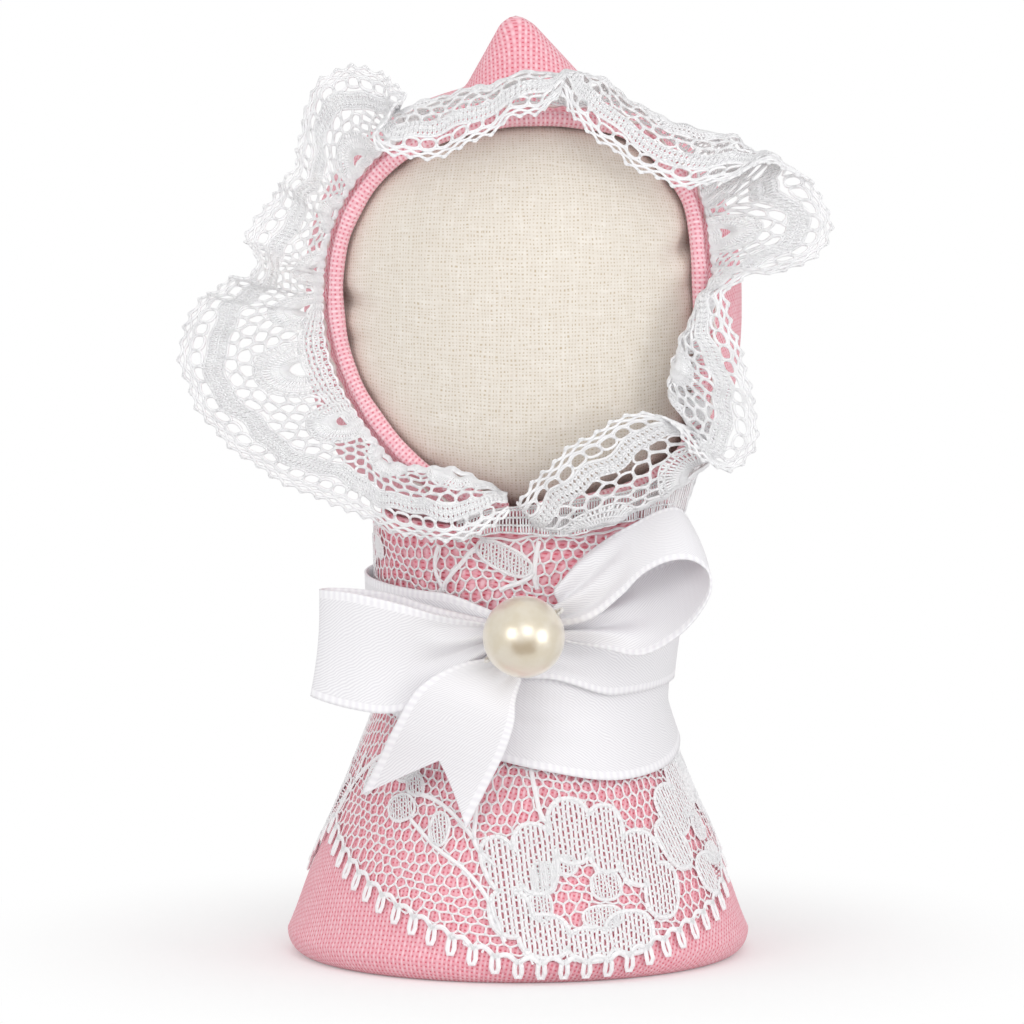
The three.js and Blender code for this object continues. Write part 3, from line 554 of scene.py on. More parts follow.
FLOAT_SLANT = 1.55
FLOAT_PERIOD = 0.56
RIB_PERIOD = 0.85
SELVEDGE = 0.95


def satin_material(name):
    """Satin ribbon: fine slanting floats on the face, which stands above a ribbed selvedge along both edges;
    the floats' lines and the ribs are painted into the colour as bands of painted shade and painted
    highlight.
    The UV map runs along the ribbon and then across it, both in millimetres from its middle line."""
    material, tree, shader = new_material(name)
    cloth = cloth_place(tree)
    along, across = add(tree, "ShaderNodeSeparateXYZ", {"Vector": cloth}).outputs[:2]
    slant = calc(tree, "MULTIPLY_ADD", across, FLOAT_SLANT, along)
    wander = calc(tree, "MULTIPLY", noise(tree, cloth, 0.4), 1.5)
    floats = ripple(tree, calc(tree, "ADD", slant, wander), FLOAT_PERIOD)
    ribs = ripple(tree, along, RIB_PERIOD)
    inner = RIBBON_WIDTH / 2 - SELVEDGE
    edge = ramp(tree, calc(tree, "ABSOLUTE", across), inner - 0.1, inner + 0.1)
    raised = calc(tree, "MULTIPLY_ADD", ribs, 0.2, 0.42)
    raised = calc(tree, "MULTIPLY", raised, calc(tree, "SUBTRACT", 1.0, edge))
    # Painted shade and painted highlight in bands along the floats and along the selvedge's ribs
    face = blend_colour(tree, floats, linear(231, 229, 233), linear(249, 248, 250))
    rib = blend_colour(tree, ribs, linear(243, 241, 245), linear(253, 252, 254))
    bump(tree, shader, raised, 0.06, 0.8)
    feed_all(tree, shader, {
        "Base Color": blend_colour(tree, edge, face, rib), "Roughness": ramp(tree, edge, 0.0, 1.0, 0.42, 0.6),
        "Specular IOR Level": 0.45, "Sheen Weight": 0.15,
    })
    return material


def pearl_material(name):
    """Pearl lacquer: a soft mottled base under a clear hard coat."""
    material, tree, shader = new_material(name)
    cloud = noise(tree, own_place(tree), 420.0, 3.0)
    tint = blend_colour(tree, ramp(tree, cloud, 0.35, 0.65), linear(233, 222, 199), linear(240, 231, 213))
    feed_all(tree, shader, {
        "Base Color": tint, "Roughness": ramp(tree, cloud, 0.3, 0.7, 0.28, 0.34), "Metallic": 0.55,
        "Coat Weight": 0.8, "Coat Roughness": 0.25, "Sheen Weight": 0.3,
    })
    return material


def fibre_material(name, pale, shade, scale):
    """Matted fibre or board: cloudy colour and a rough, dry face."""
    material, tree, shader = new_material(name)
    cloud = noise(tree, own_place(tree), scale, 6.0)
    tint = blend_colour(tree, ramp(tree, cloud, 0.3, 0.7), shade, pale)
    bump(tree, shader, cloud, 0.3, 0.7)
    feed_all(tree, shader, {"Base Color": tint, "Roughness": 0.95})
    return material


# Each cloth's colours are painted shade in the holes, painted shade on a thread's sides and a painted
# highlight on a thread's back
PINK_COLOURS = ((225, 104, 120), (243, 168, 181), (252, 211, 218))
# The rim's pink: the same cloth made lighter, a painted highlight on its tight roll
PINK_PAINTED_HIGHLIGHT_COLOURS = ((226, 120, 136), (244, 182, 193), (253, 220, 226))
LINEN_COLOURS = ((198, 181, 155), (231, 223, 212), (252, 248, 242))
COTTON_SPACING = 0.58
LINEN_SPACING = 0.46

PINK = cloth_material(
    "pink_cotton", PINK_COLOURS, COTTON_SPACING, wander=0.6, depth=0.1, sheen=0.25, ribbed=0.0, uneven=0.35
)
# Lighter copy of the pink for the rolled rim: painted highlight
PINK_PAINTED_HIGHLIGHT = cloth_material(
    "pink_painted_highlight", PINK_PAINTED_HIGHLIGHT_COLOURS, COTTON_SPACING, wander=0.6, depth=0.1, sheen=0.3, ribbed=0.0, uneven=0.35
)
LINEN = cloth_material(
    "cream_linen", LINEN_COLOURS, LINEN_SPACING, wander=1.8, depth=0.05, sheen=0.2, ribbed=0.75, uneven=0.8
)
LACE_WHITE = lace_material("white_lace_thread", linear(252, 252, 253), linear(246, 245, 247))
SATIN = satin_material("white_satin")
PEARL = pearl_material("pearl_lacquer")
THREAD = lace_material("sewing_thread", linear(240, 237, 232), linear(226, 222, 215))
FILLING = fibre_material("fibre_filling", linear(246, 243, 236), linear(226, 222, 212), 260.0)
CARD = fibre_material("grey_board", linear(196, 176, 146), linear(168, 148, 118), 700.0)

# Body: swaddling cloth wrapped round a filling, on a card base


def body_radius(z):
    """Outer radius of the wrap: a rounded hem, a flared skirt, then the drawn-in waist up to the collar."""
    below = np.clip((HEM_HEIGHT - z) / HEM_HEIGHT, 0, 1)
    hem = lerp(BASE_RADIUS, HEM_RADIUS, np.sqrt(1 - below**2))
    share = np.clip((WAIST_HEIGHT - z) / (WAIST_HEIGHT - HEM_HEIGHT), 0, 1)
    skirt = lerp(WAIST_RADIUS, HEM_RADIUS, share**SKIRT_FLARE)
    bodice = lerp(WAIST_RADIUS, COLLAR_RADIUS, smooth(z, WAIST_HEIGHT, COLLAR_HEIGHT))
    return np.where(z < HEM_HEIGHT, hem, np.where(z < WAIST_HEIGHT, skirt, bodice))


def on_body(angle, z, proud):
    """Point at an angle from the front, in degrees towards +X, that stands proud of the wrap."""
    turn = np.radians(angle)
    radius = body_radius(z) + proud
    axis = NECK_LEAN * smooth(z, LEAN_START, COLLAR_HEIGHT)
    return xyz(axis + radius * np.sin(turn), -radius * np.cos(turn), z)


WRAP_PUCKERS = 23
WRAP_PUCKER_DEPTH = 0.16
WRAP_FULLNESS = 0.55

# Heights between which the puckers and the fullness of the wrap come in and go out again
PUCKERS_IN = (10, 26)
PUCKERS_OUT = (50, 53)
FULLNESS_IN = (3, 11)
FULLNESS_OUT = (51.5, 53)

CONE_REACH = 74
CONE_OPENING = 0.39
CLOTH_BIAS = np.radians(12)
BASE_GATHERS = 40
BASE_GATHER_DEPTH = 0.12
BASE_GATHER_REACH = (12, 24)
BASE_CLOTH = 0.45
LUMP_DEPTH = 0.25
LUMP_ROOM = 0.4
LUMP_REACH = (2, 8)
AXIS_RADIUS = 0.02


def wrap_proud(angle, z):
    """How far the pink cloth stands out: soft puckers under the ribbon, and the lap's free edge behind."""
    lap = LAP_LIFT * smooth(angle, LAP_ANGLE - LAP_REACH, LAP_ANGLE - LAP_REACH / 2)
    near_waist = smooth(z, *PUCKERS_IN) * (1 - smooth(z, *PUCKERS_OUT))
    turn = np.radians(angle)
    pucker = WRAP_PUCKER_DEPTH * np.sin(turn * WRAP_PUCKERS + 1.5 * np.sin(turn * 5))
    full = WRAP_FULLNESS * smooth(z, *FULLNESS_IN) * (1 - smooth(z, *FULLNESS_OUT))
    return np.maximum(lap, full) + near_waist * pucker


def make_body_wrap():
    """Turned surface: angle round the body and height; the cloth's lengths are those of a cone laid flat."""
    z = np.concatenate([
        HEM_HEIGHT * (1 - np.cos(np.linspace(0, 1, 16) * np.pi / 2)),
        np.linspace(HEM_HEIGHT, WAIST_HEIGHT, 60)[1:],
        np.linspace(WAIST_HEIGHT, COLLAR_HEIGHT, 40)[1:],
    ])
    angle = np.linspace(LAP_ANGLE - 360, LAP_ANGLE, 361)
    height, turn = grid(z, angle)
    surface = on_body(turn, height, wrap_proud(turn, height))
    reach = CONE_REACH - lengths(xyz(body_radius(z), 0 * z, z))[:, None]
    opening = np.radians(turn) * CONE_OPENING + CLOTH_BIAS
    flat = pair(reach * np.sin(opening), -reach * np.cos(opening))
    faces, corners = quads(len(z), len(angle))
    made = piece("swaddling_wrap", surface, faces, PINK, flat, corners)
    thicken(made, CLOTH * 0.8, -1)
    settle(made, "body_wrap")


def make_base_cloth():
    """Disc with gathers that deepen towards its sewn edge."""
    radius = np.linspace(0.05, BASE_RADIUS - CLOTH - GAP, 30)
    turn = around(180)
    r, a = grid(radius, turn)
    gather = 1 + np.sin(a * BASE_GATHERS + 0.8 * np.sin(a * 7))
    surface = xyz(r * np.sin(a), -r * np.cos(a), BASE_GATHER_DEPTH * smooth(r, *BASE_GATHER_REACH) * gather)
    r, a = grid(radius, np.append(turn, TAU))
    faces, corners = quads(len(radius), len(turn), ring_columns=True)
    flat = pair(r * np.sin(a), r * np.cos(a))
    made = piece("base_disc_cloth", surface, faces[:, ::-1], PINK, flat, corners[:, ::-1])
    thicken(made, BASE_CLOTH, -1)
    settle(made, "base_cloth")


def make_filling(name, node, radius, z, centre_x, depth):
    """Lumpy turned form of loose fibre, a little inside the cloth round it."""
    turn = around(96)
    height, a = grid(z, turn)
    lumps = LUMP_DEPTH * np.sin(a * 7 + height * 0.5) * np.sin(a * 4 - height * 0.8)
    inner = radius[:, None]
    reach = np.maximum(inner - LUMP_ROOM + lumps * smooth(inner, *LUMP_REACH), AXIS_RADIUS)
    surface = xyz(centre_x + reach * np.sin(a), -depth * reach * np.cos(a), height)
    faces, _ = quads(len(z), len(turn), ring_columns=True)
    made = piece(name, surface, faces, FILLING)
    settle(made, node)


def closed_profile(radius, z):
    """A profile with a point on the axis added at each end, so that the turned form closes."""
    return np.pad(radius, 1, constant_values=AXIS_RADIUS), np.pad(z, 1, mode="edge")


# Head: linen stretched over a ball of filling


def head_profile(shrink):
    """Radius and height from the neck up: a rounded-square ball that fills the hood, with a slim neck below.
    With turn as the climb angle, radius is cos(turn)^(2/n) and height sin(turn)^(2/n)."""
    turn = np.radians(np.linspace(-82, 90, 120))
    power = 2 / np.where(turn > 0, CROWN_SQUARENESS, CHIN_SQUARENESS)
    tall = np.where(turn > 0, HEAD_TOP, HEAD_BOTTOM) - shrink
    ball = (HEAD_RADIUS - shrink) * np.maximum(np.cos(turn), 1e-4) ** power
    ball = np.maximum(ball, np.where(turn < 0, NECK_RADIUS - shrink, AXIS_RADIUS))
    z = HEAD_Z + tall * powered(np.sin(turn), power)
    neck = np.linspace(NECK_BOTTOM, z[0], 9)[:-1]
    return np.concatenate([[NECK_RADIUS - shrink] * 8, ball]), np.concatenate([neck, z])


# Puckers of the linen where the rim pulls it in: direction on the face in degrees from the top, depth
LINEN_PUCKERS = np.array([
    [-86, 1.2], [-98, 0.5], [-118, 0.3], [-40, 0.3], [68, 1.15],
    [80, 0.4], [50, 0.25], [118, 0.3], [152, 0.35], [-150, 0.35],
])
LINEN_PUCKER_WIDTH = 3.4

# Angles from the middle of the face between which the puckers come in and go out again
LINEN_PUCKERS_IN = (0.72, 1.02)
LINEN_PUCKERS_OUT = (1.6, 1.9)
TIE_TURNS = 4
TIE_RISE = 2


def make_head():
    """Turned ball with shallow radial puckers near the rim; the cloth's lengths are measured from the
    middle of the face, as if the linen were smoothed outwards from there."""
    radius, z = head_profile(0)
    turn = np.linspace(-np.pi, np.pi, 260, endpoint=False)
    r, a = grid(radius, turn)
    surface = xyz(HEAD_X + r * np.sin(a), -HEAD_DEPTH * r * np.cos(a), z[:, None])
    away = (surface - [HEAD_X, 0, HEAD_Z]) / [HEAD_RADIUS, HEAD_RADIUS * HEAD_DEPTH, HEAD_BOTTOM]
    direction = unit(away)
    out = np.arccos(np.clip(-direction[..., 1], -1, 1))
    clock = np.degrees(np.arctan2(direction[..., 0], direction[..., 2]))
    off = (clock[..., None] - LINEN_PUCKERS[:, 0] + 180) % 360 - 180
    dents = (LINEN_PUCKERS[:, 1] * np.exp(-((off / LINEN_PUCKER_WIDTH) ** 2))).sum(-1)
    dents = dents * smooth(out, *LINEN_PUCKERS_IN) * (1 - smooth(out, *LINEN_PUCKERS_OUT))
    surface = surface - direction * dents[..., None]
    flat = unit(direction[..., [0, 2]]) * (HEAD_RADIUS * out)[..., None]
    flat = np.concatenate([flat, flat[:, :1]], axis=1)
    faces, corners = quads(len(z), len(turn), ring_columns=True)
    made = piece("linen_head", surface, faces, LINEN, flat, corners)
    settle(made, "head_cover")


def make_neck_tie():
    """Thread wound round the neck, climbing a thread's width in each turn."""
    turn = np.linspace(0, TIE_TURNS * TAU, 160)
    radius = NECK_RADIUS + GAP + THREAD_RADIUS
    z = NECK_BOTTOM + TIE_RISE + turn / TAU * 2 * THREAD_RADIUS
    path = xyz(HEAD_X + radius * np.sin(turn), -HEAD_DEPTH * radius * np.cos(turn), z)
    settle(piece("neck_binding", *threads(path[None], THREAD_RADIUS, 6), THREAD), "neck_tie")


# Hood: a crowned shell with a pointed peak, open at the face

PEAK_ROUNDING = 0.16
PEAK_BLEND = 7
SLOPE_STEP = 0.2
HOOD_SWEEP = 0.6
HOOD_PUCKERS = 31
HOOD_PUCKER_DEPTH = 0.2
HOOD_PUCKER_REACH = 3
SEAM_DEPTH = 0.35
SEAM_WIDTH = 0.5
SEAM_START = (56, 60)
CROWN_STEEP = np.radians(80)


def hood_radius(z):
    """Rounded-square crown, a straight neck below, and a cone with a rounded tip above."""
    height = np.asarray(z, float) - HEAD_Z
    power = np.where(height > 0, CROWN_SQUARENESS, CHIN_SQUARENESS)
    share = np.abs(height) / np.where(height > 0, HOOD_CROWN, HOOD_CHIN)
    crown = HOOD_RADIUS * np.clip(1 - share**power, 0, 1) ** (1 / power)
    crown_top = HEAD_Z + HOOD_CROWN
    rise = (z - crown_top) / (PEAK_HEIGHT - crown_top)
    cone = lerp(PEAK_RADIUS, PEAK_TIP, rise) * smooth(z, crown_top - 4, crown_top - 1)
    past = np.clip((rise - 1 + PEAK_ROUNDING) / PEAK_ROUNDING, 0, 1)
    tip = np.sqrt(np.clip(1 - past**2, 0, 1))
    above = (crown**PEAK_BLEND + (cone * tip) ** PEAK_BLEND) ** (1 / PEAK_BLEND)
    return np.where(height < 0, np.maximum(crown, HOOD_NECK_RADIUS), above)


def hood_front(x, z):
    """Point of the hood's front half at a place seen from the front."""
    deep = np.sqrt(np.maximum(hood_radius(z) ** 2 - (x - HEAD_X) ** 2, 4))
    return xyz(x, -HEAD_DEPTH * deep, z)


def hood_normal(point):
    """Direction out of the hood: away from its axis, and up by how fast its radius falls with height."""
    x, y, z = np.moveaxis(point, -1, 0)
    rise = (hood_radius(z + SLOPE_STEP) - hood_radius(z - SLOPE_STEP)) / (2 * SLOPE_STEP)
    return unit(xyz(x - HEAD_X, y / HEAD_DEPTH**2, -hood_radius(z) * rise))


def face_radial(point):
    """Direction away from the middle of the face, seen from the front."""
    return unit(xyz(point[..., 0] - HEAD_X, 0, point[..., 2] - HEAD_Z))


RIM_SHARES = np.linspace(0, 1, 801)
RIM_POINTS = spline(RIM_OUTLINE, RIM_SHARES)
RIM_RUN = lengths(RIM_POINTS)


def along_rim(share, outward):
    """The rim's curve laid on the hood's front, moved along the hood away from the face."""
    run = np.asarray(share) * RIM_RUN[-1]
    x, z = (np.interp(run, RIM_RUN, RIM_POINTS[:, k]) for k in (0, 1))
    start = hood_front(x, z)
    radial = face_radial(start)
    steep = (hood_normal(start) * radial).sum(-1)
    step = radial * (outward * np.sqrt(1 - steep**2))[..., None]
    return hood_front(x + step[..., 0], z + step[..., 2])


def make_hood():
    """Turned surface; points inside the face opening are drawn out to its edge, and quads that lie
    wholly inside it are left out. Cloth lengths spread from the peak as on a cone laid flat."""
    z = np.concatenate([
        np.linspace(HOOD_BOTTOM, HEAD_Z, 60),
        HEAD_Z + HOOD_CROWN * np.sin(np.linspace(0, CROWN_STEEP, 70))[1:],
        np.linspace(HEAD_Z + HOOD_CROWN * np.sin(CROWN_STEEP), PEAK_HEIGHT, 46)[1:],
    ])
    turn = np.linspace(-np.pi, np.pi, 301)
    height, a = grid(z, turn)
    radius = hood_radius(height)
    x = HEAD_X + radius * np.sin(a)
    y = -HEAD_DEPTH * radius * np.cos(a)
    front = np.abs(a) < np.pi / 2

    edge = along_rim(np.linspace(0, 1, 400), RIM_RADIUS * 0.7)
    clock = np.arctan2(edge[:, 0] - HEAD_X, edge[:, 2] - HEAD_Z)
    reach = np.hypot(edge[:, 0] - HEAD_X, edge[:, 2] - HEAD_Z)
    order = np.argsort(clock)
    own_clock = np.arctan2(x - HEAD_X, height - HEAD_Z)
    own_reach = np.hypot(x - HEAD_X, height - HEAD_Z)
    limit = np.interp(own_clock, clock[order], reach[order], period=TAU)
    inside = (own_reach < limit) & front
    stretch = np.where(inside, limit / np.maximum(own_reach, 1e-6), 1)
    moved = hood_front(HEAD_X + (x - HEAD_X) * stretch, HEAD_Z + (height - HEAD_Z) * stretch)
    surface = np.where(inside[..., None], moved, xyz(x, y, height))

    beyond = np.where(inside, 0, own_reach - limit)
    near_rim = np.exp(-((beyond / HOOD_PUCKER_REACH) ** 2)) * front
    pucker = np.sin(own_clock * HOOD_PUCKERS + np.sin(own_clock * 9)) * near_rim
    seam = np.exp(-(((np.pi - np.abs(a)) * radius / SEAM_WIDTH) ** 2)) * smooth(z, *SEAM_START)[:, None]
    relief = HOOD_PUCKER_DEPTH * pucker - SEAM_DEPTH * seam
    surface = surface + hood_normal(surface) * relief[..., None]
    rise = (surface[..., 2] - HEAD_Z - HOOD_CROWN) / (PEAK_HEIGHT - HEAD_Z - HOOD_CROWN)
    surface[..., 0] += lerp(PEAK_FOOT_X, PEAK_TIP_X, np.clip(rise, 0, 1)) * smooth(rise, -0.3, 0.1)

    run = lengths(xyz(hood_radius(z), 0 * z, z))
    from_tip = run[-1] - np.interp(surface[..., 2], z, run)
    sweep = np.arctan2(surface[..., 0] - HEAD_X, -surface[..., 1] / HEAD_DEPTH)
    sweep = HOOD_SWEEP * np.where(np.abs(a) > 3, a, sweep)
    flat = pair(from_tip * np.sin(sweep), -from_tip * np.cos(sweep))
    faces, corners = quads(len(z), len(turn))
    kept = ~inside.ravel()[faces].all(1)
    made = piece("hood_shell", surface, faces[kept], PINK, flat, corners[kept], weld=True)
    thicken(made, CLOTH * 0.7, -1)
    settle(made, "hood")


def make_rim():
    """Rolled hem: a round section carried along the rim, a little uneven, with its weave along the roll, in a
    lighter pink that paints the highlight on the tight roll.
    """
    share = np.linspace(0, 1, 420)
    path = along_rim(share, 0)
    along = unit(np.gradient(path, axis=0))
    out = hood_normal(path)
    side = unit(np.cross(along, out))
    out = np.cross(side, along)
    turn = around(22)
    uneven = 1 + 0.05 * np.sin(share * 63) + 0.04 * np.sin(share * 141 + 1)
    radius = RIM_RADIUS * uneven * np.sqrt(np.clip(1 - np.abs(2 * share - 1) ** 120, 0.01, 1))
    ring = np.cos(turn)[:, None] * side[:, None] + np.sin(turn)[:, None] * out[:, None]
    surface = path[:, None] + radius[:, None, None] * ring
    faces, corners = quads(len(share), len(turn), ring_columns=True)
    across = np.append(turn, TAU) * RIM_RADIUS
    made = piece("rolled_rim", surface, faces, PINK_PAINTED_HIGHLIGHT, pair(*grid(lengths(path), across)), corners)
    settle(made, "hood_rim")


# Frill: a strip of thread lace gathered on to the hood's edge

OVER_RIM = 1 - smooth(FRILL_FOLDS[:, 0], 6, 10)
FOLD_SEATS = along_rim(FRILL_FOLDS[:, 0] / 100, lerp(FRILL_SEAT, FRILL_COVER, OVER_RIM))
FOLD_SEATS = FOLD_SEATS + hood_normal(FOLD_SEATS) * lerp(FRILL_LIFT, FRILL_COVER_LIFT, OVER_RIM)[:, None]
FOLD_EDGES = xyz(FRILL_FOLDS[:, 1], FOLD_SEATS[:, 1] - FRILL_FOLDS[:, 3], FRILL_FOLDS[:, 2])
FRILL_SHARES = np.linspace(0, 1, 1601)
FRILL_RUN = lengths(spline(FOLD_EDGES, FRILL_SHARES))
FRILL_LENGTH = FRILL_RUN[-1]
FOLD_PLACES = np.linspace(0, 1, len(FRILL_FOLDS))
FOLD_SPRING = 0.45
FRILL_STEP = 0.4

# Length and height of the lace's waves at its free edge, and of the gathers at its sewn edge
EDGE_WAVE = (6.8, 0.4)
SEAT_WAVE = (3.1, 0.22)


def frill_base(run, depth):
    """Smooth folds: a curve from the sewn edge, which leaves the hood squarely and bends over to the free
    edge. Run is counted along the free edge and depth in from it, and near the sewn edge the lace is
    drawn up."""
    share = np.interp(run, FRILL_RUN, FRILL_SHARES)
    seat = spline(FOLD_SEATS, share)
    edge = spline(FOLD_EDGES, share)
    wide = np.linalg.norm(edge - seat, axis=-1, keepdims=True)
    percent = np.interp(share, FOLD_PLACES, FRILL_FOLDS[:, 0])
    right, up, forward = (np.interp(percent, FRILL_BILLOW[:, 0], FRILL_BILLOW[:, k]) for k in (1, 2, 3))
    rise = seat + hood_normal(seat) * wide * FOLD_SPRING + xyz(right, -forward, up)
    reach = 2 * np.linalg.norm(edge - rise, axis=-1, keepdims=True)
    left = np.clip(1 - depth / FRILL_WIDTH, 1e-4, None)[..., None]
    t = left ** (FRILL_WIDTH / np.maximum(reach, 6))
    return (1 - t) ** 2 * seat + 2 * t * (1 - t) * rise + t**2 * edge, t[..., 0]


def sewn(flat, radius, closed=False):
    """Threads laid along flat paths of run and depth on the lace: the smooth folds with small waves that grow
    towards the free edge."""
    run, depth = flat[..., 0], flat[..., 1]
    point, t = frill_base(run, depth)
    ahead, _ = frill_base(run + FRILL_STEP, depth)
    deeper, _ = frill_base(run, depth + FRILL_STEP)
    normal = unit(np.cross(ahead - point, deeper - point))
    wave = np.sin(run * TAU / EDGE_WAVE[0] + 1.4 * np.sin(run / 9)) * EDGE_WAVE[1] * t
    wave = wave + np.sin(run * TAU / SEAT_WAVE[0]) * SEAT_WAVE[1] * (1 - t)
    return threads(point + normal * wave[..., None], radius, closed=closed, out=normal)


def cords(run, depths):
    """Flat paths that follow the strip at the given depths."""
    return np.stack([pair(run, depth) for depth in depths])


def hex_cells(columns, rows, wide, tall):
    """Six corners of each cell of a net, as flat places."""
    column, row = grid(np.arange(columns), np.arange(rows))
    centre = pair((column + 0.5 * (row % 2)) * wide, row * tall)
    side = tall / 1.5
    corner = np.array([[0, 2], [1, 1], [1, -1], [0, -2], [-1, -1], [-1, 1]]) * [wide / 2, side / 2]
    return (centre[:, :, None] + corner).reshape(-1, 6, 2)


def scattered(places, amount, grain):
    """Moves each flat place a little, the same way wherever the same place comes up again."""
    cell = np.round(places / grain)
    shift = pair(*(jitter(cell[..., 0], cell[..., 1], phase) for phase in (1, 2)))
    return places + amount * shift


def rounded(corners):
    """A closed loop inside a cell: its corners drawn in a little and the middles of its sides."""
    centre = corners.mean(1, keepdims=True)
    middles = (corners + np.roll(corners, -1, 1)) / 2
    loop = np.stack([lerp(centre, corners, 0.9), lerp(centre, middles, 0.985)], axis=2)
    return loop.reshape(len(corners), -1, 2)


REPEATS = round(FRILL_LENGTH / 14.2)
REPEAT = FRILL_LENGTH / REPEATS
PICOTS = round(FRILL_LENGTH / 2.1)
PICOT_STEP = FRILL_LENGTH / PICOTS
PICOT = np.array([[-0.4, 0.4], [-0.24, 0.15], [0, 0.02], [0.24, 0.15], [0.4, 0.4]])
RING_DEPTH = 2.5
RING_TALL = 0.85
RING_SQUARENESS = 0.8
TRAIL = 1.35
TRAIL_DEPTH = 4.9
TRAIL_SWING = 0.55
TRAIL_WAVER = 0.25
FAN_WIDE = 5.4
FAN_DEEP = 7.2
FAN_ARCS = np.array([1, 0.84, 0.66, 0.48, 0.3])
HEADING = 16.6
RUNG_STEP = 0.62
CORD_STEP = 0.75
FINE_STEP = 0.42
CELL_WIDE = 2.3
CELL_TALL = 1.95
CELL_SCATTER = (0.24, 0.25)

# Radii of the frill's threads
CORD = 0.2
TRAIL_CORD = 0.21
CELL_CORD = 0.19
RUNG_THREAD = 0.17
FINE_THREAD = 0.16
HEADING_THREAD = 0.14
THROAT_THREAD = 0.12


def trail_depth(run):
    """Middle line of the dense trail, which swings in and out once in each repeat."""
    turn = run * TAU / REPEAT
    return TRAIL_DEPTH + TRAIL_SWING * np.cos(turn) + TRAIL_WAVER * np.sin(turn * 2.7)


def fan_threads(centres):
    """Flat threads of the dense half-round fans that stand on the heading: rays and arcs."""
    turn = np.linspace(0, np.pi, 27)
    rim = pair(FAN_WIDE * np.cos(turn), -FAN_DEEP * np.sin(turn))
    foot = pair(centres, 0 * centres + HEADING)[:, None, None]
    rays = foot + rim[None, :, None] * np.linspace(FAN_ARCS[-1], 1, 4)[:, None]
    arcs = foot + FAN_ARCS[None, :, None, None] * rim
    return rays.reshape(-1, 4, 2), arcs.reshape(-1, len(turn), 2)


def zigzag(run, low, high):
    """Threads that step between two depths along the strip."""
    depth = np.where(np.arange(len(run)) % 2, low, high)
    place = pair(run, depth)
    return np.stack([place[:-1], place[1:]], axis=1)


def throat_surface(share, drop):
    """Gathered heading that hangs below the seam at the throat, in folds that grow downwards: a wave with a
    finer one on it. Its right end leans in towards the neck."""
    top = spline(THROAT_SEAM, share)
    fall = np.interp(share, np.linspace(0, 1, len(THROAT_DROP)), THROAT_DROP) * drop
    fold = THROAT_FOLD * np.sin(share * 74 + np.sin(share * 21)) + THROAT_CRIMP * np.sin(share * 171)
    fold = drop * fold
    lean = THROAT_LEAN * drop * smooth(share, *THROAT_LEAN_REACH)
    return top + xyz(THROAT_SWAY * fold - lean, -THROAT_PROUD - fold, -fall)


def ground_cells(centres):
    """Rounded loops of the open net, left out where the trail, the heading and the fans are."""
    cells = hex_cells(int(FRILL_LENGTH / CELL_WIDE), 10, CELL_WIDE, CELL_TALL) + [0.5, 1.2]
    corners = scattered(cells, *CELL_SCATTER)
    middle = corners.mean(1)
    from_fan = (middle[:, :1] - centres) / FAN_WIDE
    in_fan = (from_fan**2 + ((middle[:, 1:] - HEADING) / FAN_DEEP) ** 2 < 0.8).any(1)
    off_trail = middle[:, 1] - trail_depth(middle[:, 0])
    return rounded(corners[(off_trail > TRAIL + 0.15) & (middle[:, 1] < HEADING - 0.2) & ~in_fan])


def make_frill():
    """Lace of cords along the strip, picots and rings at its free edge, a dense trail, a net with fans, and
    a close heading; below the throat hangs the heading's end."""
    run = np.linspace(0, FRILL_LENGTH, int(FRILL_LENGTH / CORD_STEP))
    fine_run = np.linspace(0, FRILL_LENGTH, int(FRILL_LENGTH / FINE_STEP))
    sway = np.cos(fine_run * TAU / PICOT_STEP)
    edges = [0.45 + 0.2 * sway, 1 - 0.16 * sway, 1.55 + 0.16 * sway]
    bands = [trail_depth(run) + TRAIL * offset for offset in (-1, 0, 1)]
    heads = [0 * run + depth for depth in np.linspace(HEADING, FRILL_WIDTH - 0.2, 6)]

    at = (np.arange(1, PICOTS) + 0.5) * PICOT_STEP
    foot = pair(at, 0 * at)[:, None]
    turn = around(12)
    wide = PICOT_STEP * 0.5 * powered(np.cos(turn), RING_SQUARENESS)
    ring = pair(wide, RING_DEPTH + RING_TALL * powered(np.sin(turn), RING_SQUARENESS))

    step = np.arange(0, FRILL_LENGTH, RUNG_STEP)
    rungs = np.concatenate([
        zigzag(step, low, high) for low, high in ((-TRAIL, 0), (0, -TRAIL), (0, TRAIL), (TRAIL, 0))
    ])
    rungs = pair(rungs[..., 0], rungs[..., 1] + trail_depth(rungs[..., 0]))
    centres = (np.arange(REPEATS) + 0.5) * REPEAT
    rays, arcs = fan_threads(centres)
    share = np.linspace(0, 1, 96)[:, None]
    level = np.array([0, 0.1, 0.4, 0.7, 1])[:, None]

    parts = [
        sewn(cords(fine_run, edges), CORD),
        sewn(cords(run, bands), TRAIL_CORD),
        sewn(cords(run, heads), CORD),
        sewn(PICOT + foot, FINE_THREAD),
        sewn(ring + foot, CORD, closed=True),
        sewn(rungs, RUNG_THREAD),
        *(sewn(zigzag(step, low, low + 0.9), HEADING_THREAD) for low in np.linspace(HEADING, 19.2, 4)),
        sewn(rays, RUNG_THREAD),
        sewn(arcs, FINE_THREAD),
        sewn(ground_cells(centres), CELL_CORD, closed=True),
        threads(throat_surface(share, np.linspace(0, 1, 5)), THROAT_THREAD),
        threads(throat_surface(np.linspace(0, 1, 150), level), HEADING_THREAD),
    ]
    made = piece("lace_frill", *joined(parts), LACE_WHITE)
    settle(made, "hood_frill")


STITCHES = 62
STITCH_DIP = 0.18


